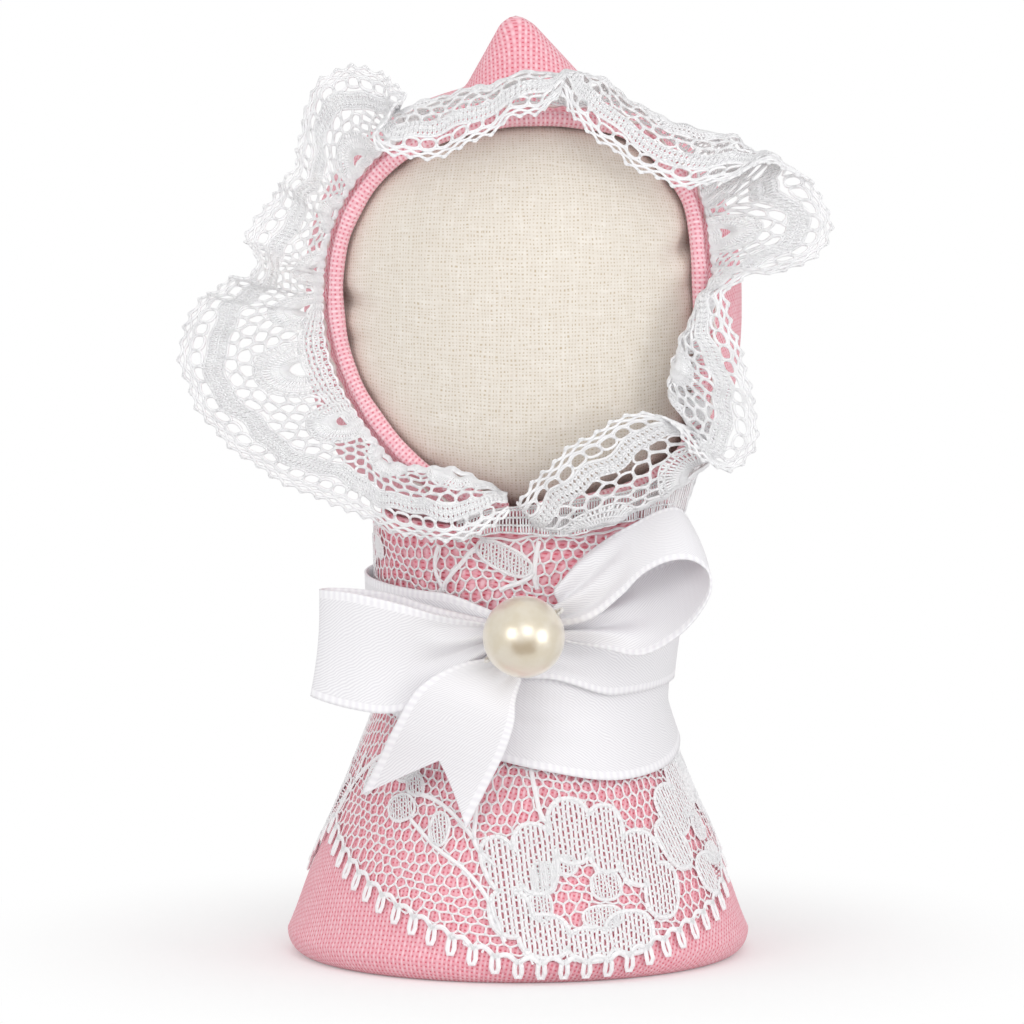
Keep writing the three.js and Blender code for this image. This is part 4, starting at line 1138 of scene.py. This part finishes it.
def make_frill_thread():
    """Running stitch beside the frill: the thread dips towards the hood once in each stitch."""
    share = np.linspace(0.02, 0.98, 600)
    beside = FRILL_SEAT + LACE / 2 + GAP + 2 * THREAD_RADIUS
    path = along_rim(share, beside)
    dip = STITCH_DIP * np.cos(share * TAU * STITCHES)
    path = path + hood_normal(path) * (GAP + THREAD_RADIUS + dip)[:, None]
    made = piece("gathering_thread", *threads(path[None], THREAD_RADIUS * 0.8, 6), THREAD)
    settle(made, "frill_thread")


def hex_edges(columns, rows, wide, tall):
    """Start and end of the three sides that each cell of a six-sided net adds, as flat places."""
    corner = hex_cells(columns, rows, wide, tall)
    return corner[:, [[0, 1], [1, 2], [0, 5]]].reshape(-1, 2, 2)


# Lace wrap: a wide flowered net with a looped, scalloped hem, laid over the body

SCALLOP_CENTRE = 11.5
SCALLOP_FLAT = 13.5
SCALLOP_ROUND = 4
SCALLOP_LOW = 0.55
SCALLOP_SLOPE = 0.19
SCALLOP_EASE = 0.71
LOOP_DROP = 2.1
LACE_PROUD = 0.95
LACE_TUCK = 0.4
LACE_TOP = 53.9
LACE_TOP_RISE = 0.6
LACE_MARGIN = 0.1

# Petals of one flower, which overlap: across and up from its middle, width, height, and lean in degrees
PETALS = np.array([
    [-9.1, 3.6, 4.6, 6.8, -18], [-5.0, 4.4, 5.4, 8.2, 0], [-0.2, 7.5, 5.7, 7.6, 0], [4.3, 6.4, 5.3, 7.8, 0],
    [8.8, 3.8, 6.0, 6.3, 14], [11.8, -0.2, 5.4, 6.3, 10], [6.2, -4.6, 6.8, 4.9, 0], [0.7, -5.7, 6.0, 3.9, 0],
    [-5.0, -4.6, 6.4, 5.1, 0], [-8.8, -1.9, 5.2, 5.5, 0],
])

# Closely stitched lobes round the flower's open middle, measured in the same way
LOBES = np.array([
    [-4.2, 2.2, 2.9, 3.6, 0], [-1.4, 3.6, 3.0, 2.2, 0], [3.6, 1.0, 4.0, 3.3, 0], [2.7, -2.6, 5.2, 2.6, 0],
    [-5.0, -1.0, 2.7, 3.6, 0],
])

# Stems of one flower, as points across and up from its middle
STEMS = np.array([
    [[-10.0, -5.2], [-10.7, -2.6], [-11.6, 0.2], [-14.0, 3.2], [-17.0, 5.2], [-20.6, 8.4]],
    [[-4.2, 15.2], [-4.1, 13.2], [-3.9, 11.4], [-3.7, 9.8], [-3.2, 8.8], [-2.6, 8]],
    [[-11.4, 10.6], [-11.8, 8.6], [-12.2, 6.6], [-11.8, 5.4], [-11, 4.6], [-10, 3.6]],
    [[-12.2, 6.6], [-13.4, 8.2], [-14.8, 9.6], [-16.2, 10.6], [-17.8, 11.2], [-19.4, 11.4]],
])
BUDS = np.array([[-16.6, 7.6, 2.4, 4.0, 24], [-22.0, 9.6, 4.4, 2.8, -20], [-19.6, 12.4, 2.6, 2.4, 0]])

# Where the flowers sit: angle from the front, height, size, and hand
FLOWERS = np.array([
    [17, 10.5, 1, 1], [81, 15.5, 0.95, -1], [138, 15.5, 0.9, 1], [197, 10.5, 1, 1], [255, 15.5, 0.95, -1],
    [66, 44, 0.8, -1], [165, 42, 0.9, 1], [232, 43, 0.8, -1], [112, 42, 0.8, 1],
])

# Leaf and stems of the sprig at the collar, and where the sprigs sit
LEAF = np.array([[0, 0, 7.4, 3.0, 26]])
LEAF_STEMS = np.array([
    [[-8.4, -4.6], [-7.6, -3.5], [-6.6, -2.1], [-5.3, -0.7], [-4.4, 0.5], [-3.5, 1.2]],
    [[-8.6, 1.2], [-9.0, 0.2], [-9.2, -0.9], [-9.0, -2.3], [-8.4, -3.4], [-7.8, -4.4]],
    [[4.3, 2.2], [4.1, 1.5], [3.9, 0.2], [3.8, -1.2], [3.8, -2.4], [4.2, -3.8]],
    [[-0.4, -4.0], [0.6, -3.5], [1.5, -3.2], [2.4, -2.8], [3.1, -2.4], [3.8, -1.9]],
])
SPRIGS = np.array([[-8.8, 51.2, 1, 1], [75, 51.4, 1, -1], [190, 50.6, 1, 1], [248, 50, 1, 1]])

PETAL_FULLNESS = 2.4
PETAL_STITCH = (0.62, 0.85)
LOBE_STITCH = (0.43, 0.5)
NET_ROW = 1.22
NET_CELLS = 104
COLLAR_CELLS = 84
NET_SPLIT = 33
NET_RADII = (0.17, 0.125, 0.17)
NET_WANDER = (0.5, 0.16)
NET_WAVE = 0.45
NET_LOW = 1.5
NET_HIGH = 56
PRESSED = 0.5
THREAD_SWAY = 0.07
RUNG_SCATTER = 0.22
WORK_LIFT = 0.05
STEM_RADIUS = 0.3
EDGE_RADIUS = 0.16
HEM_LOOPS = 64
ARCH_RADIUS = 0.33
ARCH_RISE = 0.8
LOOP_RADIUS = 0.31
LOOP_FOOT = 0.45

# One hanging loop of the hem: across, and up from the arches
HEM_LOOP = np.array([
    [-0.2, 0.5], [-0.4, -0.4], [-0.45, -1.2], [-0.25, -1.8],
    [0.25, -1.8], [0.45, -1.2], [0.4, -0.4], [0.2, 0.5],
])


def hem_height(angle):
    """Lowest point of the looped hem: flat across the scallop's middle, then rising to either side, more
    gently to the right of it."""
    turn = (angle - SCALLOP_CENTRE + 90) % 180 - 90
    past = np.abs(turn) - SCALLOP_FLAT
    climb = (past + np.sqrt(past**2 + SCALLOP_ROUND**2)) / 2
    ease = np.where(turn > 0, lerp(SCALLOP_EASE, 1, smooth(turn, 50, 90)), 1)
    return SCALLOP_LOW + SCALLOP_SLOPE * climb * ease


def lace_top(angle):
    """Upper edge of the lace: higher on the right, and cut a little unevenly."""
    turn = np.radians(angle)
    uneven = 0.2 * np.sin(13 * turn) + 0.12 * np.sin(31 * turn + 1)
    return LACE_TOP + LACE_TOP_RISE * np.sin(turn) + uneven


def on_lace(angle, z, proud=0.0):
    """Point on the lace, which comes closer to the cloth towards the hem."""
    return on_body(angle, z, LACE_PROUD - LACE_TUCK * (1 - smooth(z, *FULLNESS_IN)) + proud)


def lace_threads(angle, z, proud, radius, sides=4):
    """Threads pressed flat on the wrap."""
    turn = np.radians(angle)
    out = xyz(np.sin(turn), -np.cos(turn), 0)
    return threads(on_lace(angle, z, proud), radius, sides, out=out, pressed=PRESSED)


def on_net(angle, z):
    """Whether a place lies between the hem's loops and the upper edge."""
    above_hem = z > hem_height(angle) + LOOP_DROP - LACE_MARGIN
    return above_hem & (z < lace_top(angle) - LACE_MARGIN)


def petal_reach(flat, petals):
    """How far out in each petal a flat place lies, nought in its middle and one on its outline: the sum of
    the shares of its half width and half height, each raised to the fullness."""
    lean = np.radians(petals[:, 4])
    away = flat[..., None, :] - petals[:, :2]
    across = away[..., 0] * np.cos(lean) - away[..., 1] * np.sin(lean)
    up = away[..., 0] * np.sin(lean) + away[..., 1] * np.cos(lean)
    shares = np.abs(2 * pair(across / petals[:, 2], up / petals[:, 3]))
    return (shares**PETAL_FULLNESS).sum(-1)


def petal_loops(petals, count):
    """Outline of each petal: cosine and sine raised to two over the fullness, leaned and moved into place."""
    turn = around(count)
    own = powered(pair(np.cos(turn), np.sin(turn)), 2 / PETAL_FULLNESS) * petals[:, None, 2:4] / 2
    lean = np.radians(petals[:, 4, None])
    across = own[..., 0] * np.cos(lean) + own[..., 1] * np.sin(lean)
    up = own[..., 1] * np.cos(lean) - own[..., 0] * np.sin(lean)
    return petals[:, None, :2] + pair(across, up)


def scalloped(petals):
    """Short threads along the outlines, left out where one petal's outline runs inside another petal."""
    loop = petal_loops(petals, 28)
    sides = np.stack([loop, np.roll(loop, -1, 1)], axis=2)
    own = np.eye(len(petals), dtype=bool)[:, None]
    others = np.where(own, np.inf, petal_reach(sides.mean(2), petals))
    return sides[others.min(-1) > 0.8]


def fill_threads(petals, stitch):
    """Upright threads with a little sway and staggered rungs between them, cut where the petals end. The
    stitch is the distance from thread to thread and from rung to rung."""
    step, rise = stitch
    low = petals[:, :2].min(0) - petals[:, 2:4].max() / 2
    high = petals[:, :2].max(0) + petals[:, 2:4].max() / 2
    across = np.arange(low[0], high[0], step)
    up = np.arange(low[1], high[1], 0.1)
    inside = (petal_reach(pair(*grid(across, up)), petals) < 0.95).any(-1)
    change = np.diff(np.pad(inside, ((0, 0), (1, 1))).astype(int), axis=1)
    column, start = np.nonzero(change == 1)
    end = np.nonzero(change == -1)[1]
    z = lerp(up[start][:, None], up[end - 1][:, None], np.linspace(0, 1, 5))
    x = across[column][:, None] + THREAD_SWAY * np.sin(2.1 * z + 1.7 * column[:, None])
    uprights = pair(x, z)

    level = np.arange(low[1], high[1], rise)
    column, row = grid(np.arange(len(across) - 1), np.arange(len(level)))
    z = level[row] + rise * (0.5 * (column % 2) + RUNG_SCATTER * jitter(column, row, 1))
    ends = np.stack([pair(across[column + k], z) for k in (0, 1)], axis=2).reshape(-1, 2, 2)
    return uprights, ends[(petal_reach(ends, petals) < 0.9).any(-1).all(1)]


def placed(flat, motifs):
    """Angle and height on the wrap of flat paths, once for each motif."""
    angle, z, size, hand = (motifs[:, k, None, None] for k in range(4))
    height = z + flat[..., 1] * size
    turn = angle + np.degrees(flat[..., 0] * size * hand / (body_radius(height) + LACE_PROUD))
    return turn.reshape(-1, flat.shape[-2]), height.reshape(-1, flat.shape[-2])


def motif_threads(flat, motifs, radius):
    """Threads of a motif wherever it sits, cut where they leave the net."""
    angle, z = placed(flat, motifs)
    held = on_net(angle, z).all(1)
    return lace_threads(angle[held], z[held], WORK_LIFT, radius)


def in_motifs(angle, z, motifs, petals):
    """Whether a place on the wrap lies in a petal of any of the motifs."""
    turn = (angle[:, None] - motifs[:, 0] + 180) % 360 - 180
    across = np.radians(turn) * (body_radius(z)[:, None] + LACE_PROUD) / motifs[:, 2] * motifs[:, 3]
    up = (z[:, None] - motifs[:, 1]) / motifs[:, 2]
    return (petal_reach(pair(across, up), petals) < 0.95).any((1, 2))


def net_threads(cells, low, high):
    """Six-sided net between two heights: its corners wander, and its threads are thicker where they meet."""
    edges = hex_edges(cells, int((high - low) / NET_ROW) + 1, 360 / cells, NET_ROW) + [0, low]
    corner = np.round(edges * 4) % [1440, 1e9]
    angle = edges[..., 0] + NET_WANDER[0] * jitter(corner[..., 0], corner[..., 1], 1)
    z = edges[..., 1] + NET_WANDER[1] * jitter(corner[..., 0], corner[..., 1], 2)
    z = z + NET_WAVE * np.sin(np.radians(8 * edges[..., 0]) + 0.6 * edges[..., 1])
    middle, level = angle.mean(1), z.mean(1)
    kept = on_net(angle, z).all(1) & ~in_motifs(middle, level, SPRIGS, LEAF)
    kept &= ~in_motifs(middle, level, FLOWERS, np.concatenate([PETALS, LOBES, BUDS]))
    angle, z = (np.stack([end[:, 0], end.mean(1), end[:, 1]], axis=1)[kept] for end in (angle, z))
    return lace_threads(angle, z, 0, NET_RADII)


def hem_threads():
    """Arches along the hem and the short loops that hang between them."""
    step = 360 / HEM_LOOPS
    arch = np.linspace(-0.5, 0.5, 9)
    angle = (np.arange(HEM_LOOPS) + 0.5)[:, None] * step + arch * step
    z = hem_height(angle) + LOOP_DROP + ARCH_RISE * np.cos(arch * np.pi) - LACE_MARGIN
    arches = lace_threads(angle, z, 2 * WORK_LIFT, ARCH_RADIUS, 6)
    foot = np.arange(HEM_LOOPS)[:, None] * step
    angle = foot + np.degrees(HEM_LOOP[:, 0] / (HEM_RADIUS + LACE_PROUD))
    z = np.maximum(hem_height(foot) + LOOP_DROP + HEM_LOOP[:, 1], LOOP_FOOT)
    return [arches, lace_threads(angle, z, 0.12, LOOP_RADIUS, 6)]


def make_lace_wrap():
    """Flowers, sprigs, hem and upper edge as one piece, and the net between them as a piece of its own."""
    edge = np.linspace(0, 360, 361)
    share = np.linspace(0, 1, 14)
    worked = [*hem_threads(), lace_threads(edge[None], lace_top(edge)[None] - LACE_MARGIN, 0, EDGE_RADIUS)]
    for petals, stitch, motifs in (
        (PETALS, PETAL_STITCH, FLOWERS), (LOBES, LOBE_STITCH, FLOWERS), (BUDS, LOBE_STITCH, FLOWERS),
        (LEAF, LOBE_STITCH, SPRIGS),
    ):
        uprights, rungs = fill_threads(petals, stitch)
        for flat, thickness in ((scalloped(petals), 0.52), (uprights, 0.34), (rungs, 0.24)):
            worked.append(motif_threads(flat, motifs, thickness * stitch[0]))
    for stems, motifs in ((STEMS, FLOWERS), (LEAF_STEMS, SPRIGS)):
        lines = np.stack([spline(knots, share) for knots in stems])
        worked.append(motif_threads(lines, motifs, STEM_RADIUS))

    ground = [net_threads(NET_CELLS, NET_LOW, NET_SPLIT), net_threads(COLLAR_CELLS, NET_SPLIT, NET_HIGH)]
    net = settle(piece("lace_net", *joined(ground), LACE_WHITE, smoothed=False), "lace_wrap")
    made = settle(piece("flowered_lace", *joined(worked), LACE_WHITE, smoothed=False), "lace_wrap")


# Ribbon: two turns round the waist and a bow with two loops and a tail

RIBBON_WALL = RIBBON * 0.7
TURN_RADIUS = 19
TURN_PLEATS = 3.5
PLEATS = 2.5
PLEAT_DEPTH = 0.7
LOWER_MIDDLE = 34.8
LOWER_GATHER = 0.9
UPPER_GATHER = 0.6
LOWER_SWING = 3.7
LOWER_SWING_ANGLE = -131
LOWER_BEND = 1.2
LOWER_BEND_ANGLE = -62
UPPER_MIDDLE = 40.4
UPPER_DIP = 0.2
FIRST_HUG = 0.55
SECOND_HUG = 0.95

# Degrees from the knot over which a turn widens to its full width, and comes to lie close
GATHER_REACH = (4, 34)
HUG_REACH = (25, 75)

# Shares of a loop's length over which its pleats fade, and how far its middle crowns
PLEATS_FADE = (0.02, 0.26)
LEFT_CROWN = 0.4
RIGHT_CROWN = 0.3


def lower_middle(angle):
    """Height of the lower turn's middle line: a swing once round the waist and a bend twice round it."""
    swing = LOWER_SWING * np.cos(np.radians(angle - LOWER_SWING_ANGLE))
    return LOWER_MIDDLE + swing + LOWER_BEND * np.cos(np.radians(2 * (angle - LOWER_BEND_ANGLE)))


def upper_middle(angle):
    """Height of the upper turn's middle line, which dips a little to the right."""
    return UPPER_MIDDLE - UPPER_DIP * np.sin(np.radians(angle))


def gathered_width(angle, least):
    """Width of a turn, drawn in at the knot to the least share of it."""
    return RIBBON_WIDTH * lerp(least, 1, smooth(from_knot(angle), *GATHER_REACH))


def hugged(angle):
    """How closely a turn lies on the lace: not at the knot, which draws it out, nor over the lap."""
    over_lap = smooth(angle, LAP_ANGLE - LAP_REACH - 20, LAP_ANGLE - LAP_REACH / 2)
    over_lap = over_lap * (1 - smooth(angle, LAP_ANGLE, LAP_ANGLE + 30))
    return smooth(from_knot(angle), *HUG_REACH) * (1 - over_lap)


def make_turn(name, node, proud, hug, middle, least):
    """Band round the waist: angle and place across; it narrows into pleats where the knot draws it in."""
    angle = np.linspace(FRONT, FRONT + 360, 300, endpoint=False)
    across = np.linspace(-0.5, 0.5, 26)
    share, turn = grid(across, angle)
    width = gathered_width(turn, least)
    z = middle(turn) + share * width
    pleat = (1 - width / RIBBON_WIDTH) * PLEAT_DEPTH * np.sin(share * TAU * TURN_PLEATS)
    surface = on_body(turn, z, proud - hug * hugged(turn) + RIBBON / 2 + pleat)
    unrolled = np.radians(np.append(angle, FRONT + 360))
    flat = pair(*grid(across * RIBBON_WIDTH, unrolled * TURN_RADIUS))
    faces, corners = quads(len(across), len(angle), ring_columns=True)
    made = piece(name, surface, faces, SATIN, flat[..., ::-1], corners)
    thicken(made, RIBBON_WALL, 0)
    settle(made, node)


def strip_surface(edges, along, across, near_knot, crown):
    """Ribbon between two edge curves. Where the edges come closer than the ribbon's width, near the knot,
    pleats take up what is left over, and further out the middle crowns a little."""
    first, second = spline(edges[:, 0], along), spline(edges[:, 1], along)
    flat = first[:, None] + (second - first)[:, None] * across[None, :, None]
    normal = unit(np.cross(np.gradient(flat, axis=0), np.gradient(flat, axis=1)))
    wide = np.linalg.norm(second - first, axis=-1)
    spare = np.sqrt(2 * np.clip((RIBBON_WIDTH / wide) ** 2 - 1, 0, 6))
    pleat = np.minimum(wide / (TAU * PLEATS) * spare, PLEAT_DEPTH) * near_knot
    bend = pleat[:, None] * np.sin(across * TAU * PLEATS + 0.6)
    bend = bend + (crown * (1 - near_knot))[:, None] * np.sin(across * np.pi)
    return flat + normal * bend[..., None]


def make_loop(name, node, edges, crown):
    """Ribbon between two edge curves that leave the knot and come back to it, pleated near both ends."""
    along = np.linspace(0, 1, 190)
    across = np.linspace(0, 1, 36)
    near_knot = 1 - smooth(np.minimum(along, 1 - along), *PLEATS_FADE)
    surface = strip_surface(edges, along, across, near_knot, crown)
    run = lengths(surface[:, len(across) // 2])
    flat = pair(*grid(run, (across - 0.5) * RIBBON_WIDTH))
    faces, corners = quads(len(along), len(across))
    made = piece(name, surface, faces, SATIN, flat, corners)
    thicken(made, RIBBON_WALL, 0)
    settle(made, node)


def make_tail():
    """Ribbon between two edge curves, cut to a swallow-tail by pulling its middle lines short."""
    along = np.linspace(0, 1, 120)
    across = np.linspace(0, 1, 41)
    share, place = grid(along, across)
    reach = share * (1 - TAIL_NOTCH * (1 - np.abs(2 * place - 1)))
    first, second = spline(TAIL[:, 0], reach), spline(TAIL[:, 1], reach)
    surface = first + (second - first) * place[..., None]
    normal = unit(np.cross(np.gradient(surface, axis=0), np.gradient(surface, axis=1)))
    pleat = TAIL_PLEAT * (1 - smooth(reach, 0, 0.3)) * np.sin(place * TAU * PLEATS)
    surface = surface + normal * (pleat + TAIL_WAVE * np.sin(reach * 5))[..., None]
    middle = lengths(spline(TAIL.mean(1), np.linspace(0, 1, 60)))[-1]
    flat = pair(reach * middle, (place - 0.5) * RIBBON_WIDTH)
    faces, corners = quads(len(along), len(across))
    made = piece("swallow_tail", surface, faces, SATIN, flat, corners)
    thicken(made, RIBBON_WALL, 0)
    settle(made, "bow_tail", "tail")


def make_knot():
    """Rounded block, cosine and sine raised to a low power, with the ribbon's pleats down its front."""
    up = np.linspace(-np.pi / 2, np.pi / 2, 40)
    turn = around(90)
    v, a = grid(up, turn)
    x = powered(np.cos(v), KNOT_SQUARENESS) * powered(np.sin(a), KNOT_SQUARENESS)
    y = powered(np.cos(v), KNOT_SQUARENESS) * powered(np.cos(a), KNOT_FRONT)
    z = powered(np.sin(v), KNOT_SQUARENESS)
    y = y * (1 - KNOT_PLEAT * (1 + np.sin(x * 9 + 0.6 * z)))
    surface = KNOT + xyz(x, -y, z) * KNOT_SIZE / 2
    faces, corners = quads(len(up), len(turn), ring_columns=True)
    flat = pair(*grid(up * 4, (np.append(turn, TAU) - np.pi) * 1.6))
    made = piece("pleated_knot", surface, faces, SATIN, flat, corners, weld=True)
    settle(made, "bow_knot")


# Bead and its thread

BEAD_AXIS = np.array([np.cos(np.radians(BEAD_TILT)), 0, np.sin(np.radians(BEAD_TILT))])
BEAD_UP = np.array([-BEAD_AXIS[2], 0, BEAD_AXIS[0]])
INWARD = np.array([0, 1, 0])
LIP = 1.25
LIP_EASE = 0.15
THREAD_TURN = np.radians(np.linspace(72, 34, 4))
TWISTS = 30
PLY_SWING = 0.42
PLY_SHARE = 0.55


def make_bead():
    """Ball turned about its bore: an outer arc from one mouth to the other, eased over the lip, and back
    through the bore."""
    lip = np.arcsin(BEAD_BORE * LIP / BEAD_RADIUS)
    arc = np.linspace(lip, np.pi - lip, 110)
    radius = np.concatenate([BEAD_RADIUS * np.sin(arc), np.full(9, BEAD_BORE)])
    mouth = BEAD_RADIUS * np.cos(lip) - LIP_EASE
    along = np.concatenate([BEAD_RADIUS * np.cos(arc), np.linspace(-mouth, mouth, 9)])
    turn = around(128)
    ring = np.cos(turn)[:, None] * BEAD_UP + np.sin(turn)[:, None] * INWARD
    surface = BEAD_CENTRE + along[:, None, None] * BEAD_AXIS + radius[:, None, None] * ring
    faces, _ = quads(len(along), len(turn), ring_rows=True, ring_columns=True)
    settle(piece("pearl", surface, faces, PEARL), "pearl_bead", "bead")


def make_bead_thread():
    """Two plies twisted round each other along the way through the bore and back to the knot."""
    away = BEAD_RADIUS + GAP + 2 * THREAD_RADIUS
    side = away * (np.sin(THREAD_TURN)[:, None] * BEAD_AXIS + np.cos(THREAD_TURN)[:, None] * INWARD)
    mirrored = (side * [-1, 1, -1])[::-1]
    bore = BEAD_AXIS * BEAD_RADIUS * np.array([-1.05, -0.5, 0, 0.5, 1.05])[:, None]
    route = BEAD_CENTRE + spline(np.concatenate([mirrored, bore, side]), np.linspace(0, 1, 240))
    along = unit(np.gradient(route, axis=0))
    across = unit(np.cross(along, [0.1, 0.9, 0.3]))
    up = np.cross(along, across)
    twist = np.linspace(0, TWISTS * TAU, len(route))[:, None]
    swing = (np.cos(twist) * across + np.sin(twist) * up) * THREAD_RADIUS * PLY_SWING
    plies = np.stack([route + swing, route - swing])
    made = piece("bead_thread", *threads(plies, THREAD_RADIUS * PLY_SHARE), THREAD)
    settle(made, "pearl_thread")


make_body_wrap()
make_base_cloth()
filling_z = np.linspace(3.2, NECK_BOTTOM - GAP, 60)
body_lean = NECK_LEAN * smooth(filling_z, LEAN_START, COLLAR_HEIGHT)
body_reach = body_radius(filling_z) - CLOTH - 2 * GAP - body_lean
make_filling("body_stuffing", "body_filling", *closed_profile(body_reach, filling_z), centre_x=0, depth=1)
head_radius, head_z = head_profile(CLOTH + 1.6 * GAP)
make_filling("head_stuffing", "head_filling", *closed_profile(head_radius, head_z), HEAD_X, HEAD_DEPTH)
make_head()
make_neck_tie()
make_hood()
make_rim()
make_frill()
make_frill_thread()
make_lace_wrap()
make_turn("ribbon_first_turn", "ribbon_turn_lower", FIRST_TURN, FIRST_HUG, lower_middle, LOWER_GATHER)
make_turn("ribbon_second_turn", "ribbon_turn_upper", SECOND_TURN, SECOND_HUG, upper_middle, UPPER_GATHER)
make_loop("left_loop", "bow_loop_left", LEFT_LOOP, LEFT_CROWN)
make_loop("right_loop", "bow_loop_right", RIGHT_LOOP, RIGHT_CROWN)
make_tail()
make_knot()
make_bead()
make_bead_thread()
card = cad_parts["base_card"]
card.data.materials.clear()
card.data.materials.append(CARD)

# Stage, light and camera

SENSOR = 36
CAMERA_DISTANCE = 3000
CAMERA_RISE = 8
AIM_X = -0.74
AIM_Z = 54.3
VIEW_WIDTH = 125.6
ROOM_LIGHT = 0.71
LAMP_AIM = Vector((0, 0, 0.055))
WHITE = (1, 1, 1, 1)
FLOOR_GREY = (0.8, 0.8, 0.8, 1)
FLOOR_LIFT = 0.22
FLOOR_FADE = (0.03, 0.075)
FLOOR_FRONT = -78
FLOOR_SIDE = 3000
FLOOR_BACK = 6000
CARD_SIDE = 200
CARD_FRONT = -300
CARD_LOW = -230
CARD_HIGH = 28
LENS = SENSOR * CAMERA_DISTANCE / VIEW_WIDTH


def seen_rays(tree):
    """One for rays that go straight from the camera, also through glass, and nought for others."""
    rays = add(tree, "ShaderNodeLightPath").outputs
    return calc(tree, "MAXIMUM", rays["Is Camera Ray"], rays["Is Transmission Ray"])


def one_quad(name, corners, material):
    """A flat sheet from its four corners."""
    return piece(name, np.array(corners, float), np.array([[0, 1, 2, 3]]), material)


def make_floor():
    """White sheet under the doll: it takes the shadow near the doll and is plain white further off."""
    material, tree, shader = new_material("white_sheet")
    output = next(n for n in tree.nodes if n.type == "OUTPUT_MATERIAL")
    tree.nodes.remove(shader)
    seen = seen_rays(tree)
    strength = calc(tree, "MULTIPLY", seen, FLOOR_LIFT)
    lit = add(tree, "ShaderNodeBsdfDiffuse", {"Color": FLOOR_GREY})
    lift = add(tree, "ShaderNodeEmission", {"Color": WHITE, "Strength": strength})
    glow = add(tree, "ShaderNodeEmission", {"Color": WHITE})
    spread = add(tree, "ShaderNodeVectorMath", {0: own_place(tree)}, operation="LENGTH")
    near = add(tree, "ShaderNodeAddShader", {0: lit.outputs[0], 1: lift.outputs[0]})
    far = calc(tree, "MULTIPLY", seen, ramp(tree, spread.outputs["Value"], *FLOOR_FADE))
    both = add(tree, "ShaderNodeMixShader", {0: far, 1: near.outputs[0], 2: glow.outputs[0]})
    tree.links.new(both.outputs[0], output.inputs["Surface"])
    corners = [
        [-FLOOR_SIDE, FLOOR_FRONT, 0], [FLOOR_SIDE, FLOOR_FRONT, 0],
        [FLOOR_SIDE, FLOOR_BACK, 0], [-FLOOR_SIDE, FLOOR_BACK, 0],
    ]
    one_quad("floor_sheet", corners, material)


def make_card():
    """Brown card in front of the doll and below its view, which only shows in what shines."""
    material, tree, shader = new_material("brown_card")
    feed_all(tree, shader, {"Base Color": linear(150, 114, 56), "Roughness": 0.9})
    corners = [
        [-CARD_SIDE, CARD_FRONT, CARD_LOW], [CARD_SIDE, CARD_FRONT, CARD_LOW],
        [CARD_SIDE, CARD_FRONT, CARD_HIGH], [-CARD_SIDE, CARD_FRONT, CARD_HIGH],
    ]
    card = one_quad("brown_card", corners, material)
    for rays in ("camera", "diffuse", "transmission", "volume_scatter", "shadow"):
        setattr(card, "visible_" + rays, False)


def make_world():
    """Plain white to the camera, and a dimmer room for the light on the doll."""
    world = bpy.data.worlds.new("soft_room")
    bpy.context.scene.world = world
    world.use_nodes = True
    tree = world.node_tree
    back = next(n for n in tree.nodes if n.type == "BACKGROUND")
    strength = calc(tree, "MULTIPLY_ADD", seen_rays(tree), 1 - ROOM_LIGHT, ROOM_LIGHT)
    feed_all(tree, back, {"Color": WHITE, "Strength": strength})


def make_lamp(name, place, size, power, mirrored=True):
    """Soft square lamp that faces the middle of the doll."""
    light = bpy.data.lights.new(name, "AREA")
    light.size = size
    light.energy = power
    lamp = bpy.data.objects.new(name, light)
    bpy.context.scene.collection.objects.link(lamp)
    lamp.location = place
    lamp.visible_glossy = mirrored
    lamp.rotation_euler = (LAMP_AIM - lamp.location).to_track_quat("-Z", "Y").to_euler()


def make_camera():
    """Very long lens, a little above the level of the doll's middle."""
    data = bpy.data.cameras.new("camera")
    data.lens = LENS
    data.sensor_width = SENSOR
    data.clip_end = 100
    camera = bpy.data.objects.new("camera", data)
    bpy.context.scene.collection.objects.link(camera)
    rise = np.radians(CAMERA_RISE)
    away = CAMERA_DISTANCE * MM
    camera.location = (AIM_X * MM, -away * np.cos(rise), AIM_Z * MM + away * np.sin(rise))
    camera.rotation_euler = (np.pi / 2 - rise, 0, 0)
    bpy.context.scene.camera = camera


make_floor()
make_card()
make_world()
make_lamp("lamp_left", place=(-0.5, -0.72, 0.28), size=0.36, power=1.3)
make_lamp("lamp_middle", place=(0.16, -0.78, 0.4), size=0.34, power=1.0)
make_lamp("lamp_right", place=(0.64, -0.5, 0.13), size=0.34, power=1.2)
make_lamp("lamp_above", place=(-0.1, -0.2, 0.95), size=0.5, power=0.7, mirrored=False)
make_camera()
bpy.context.scene.view_settings.view_transform = "Standard"
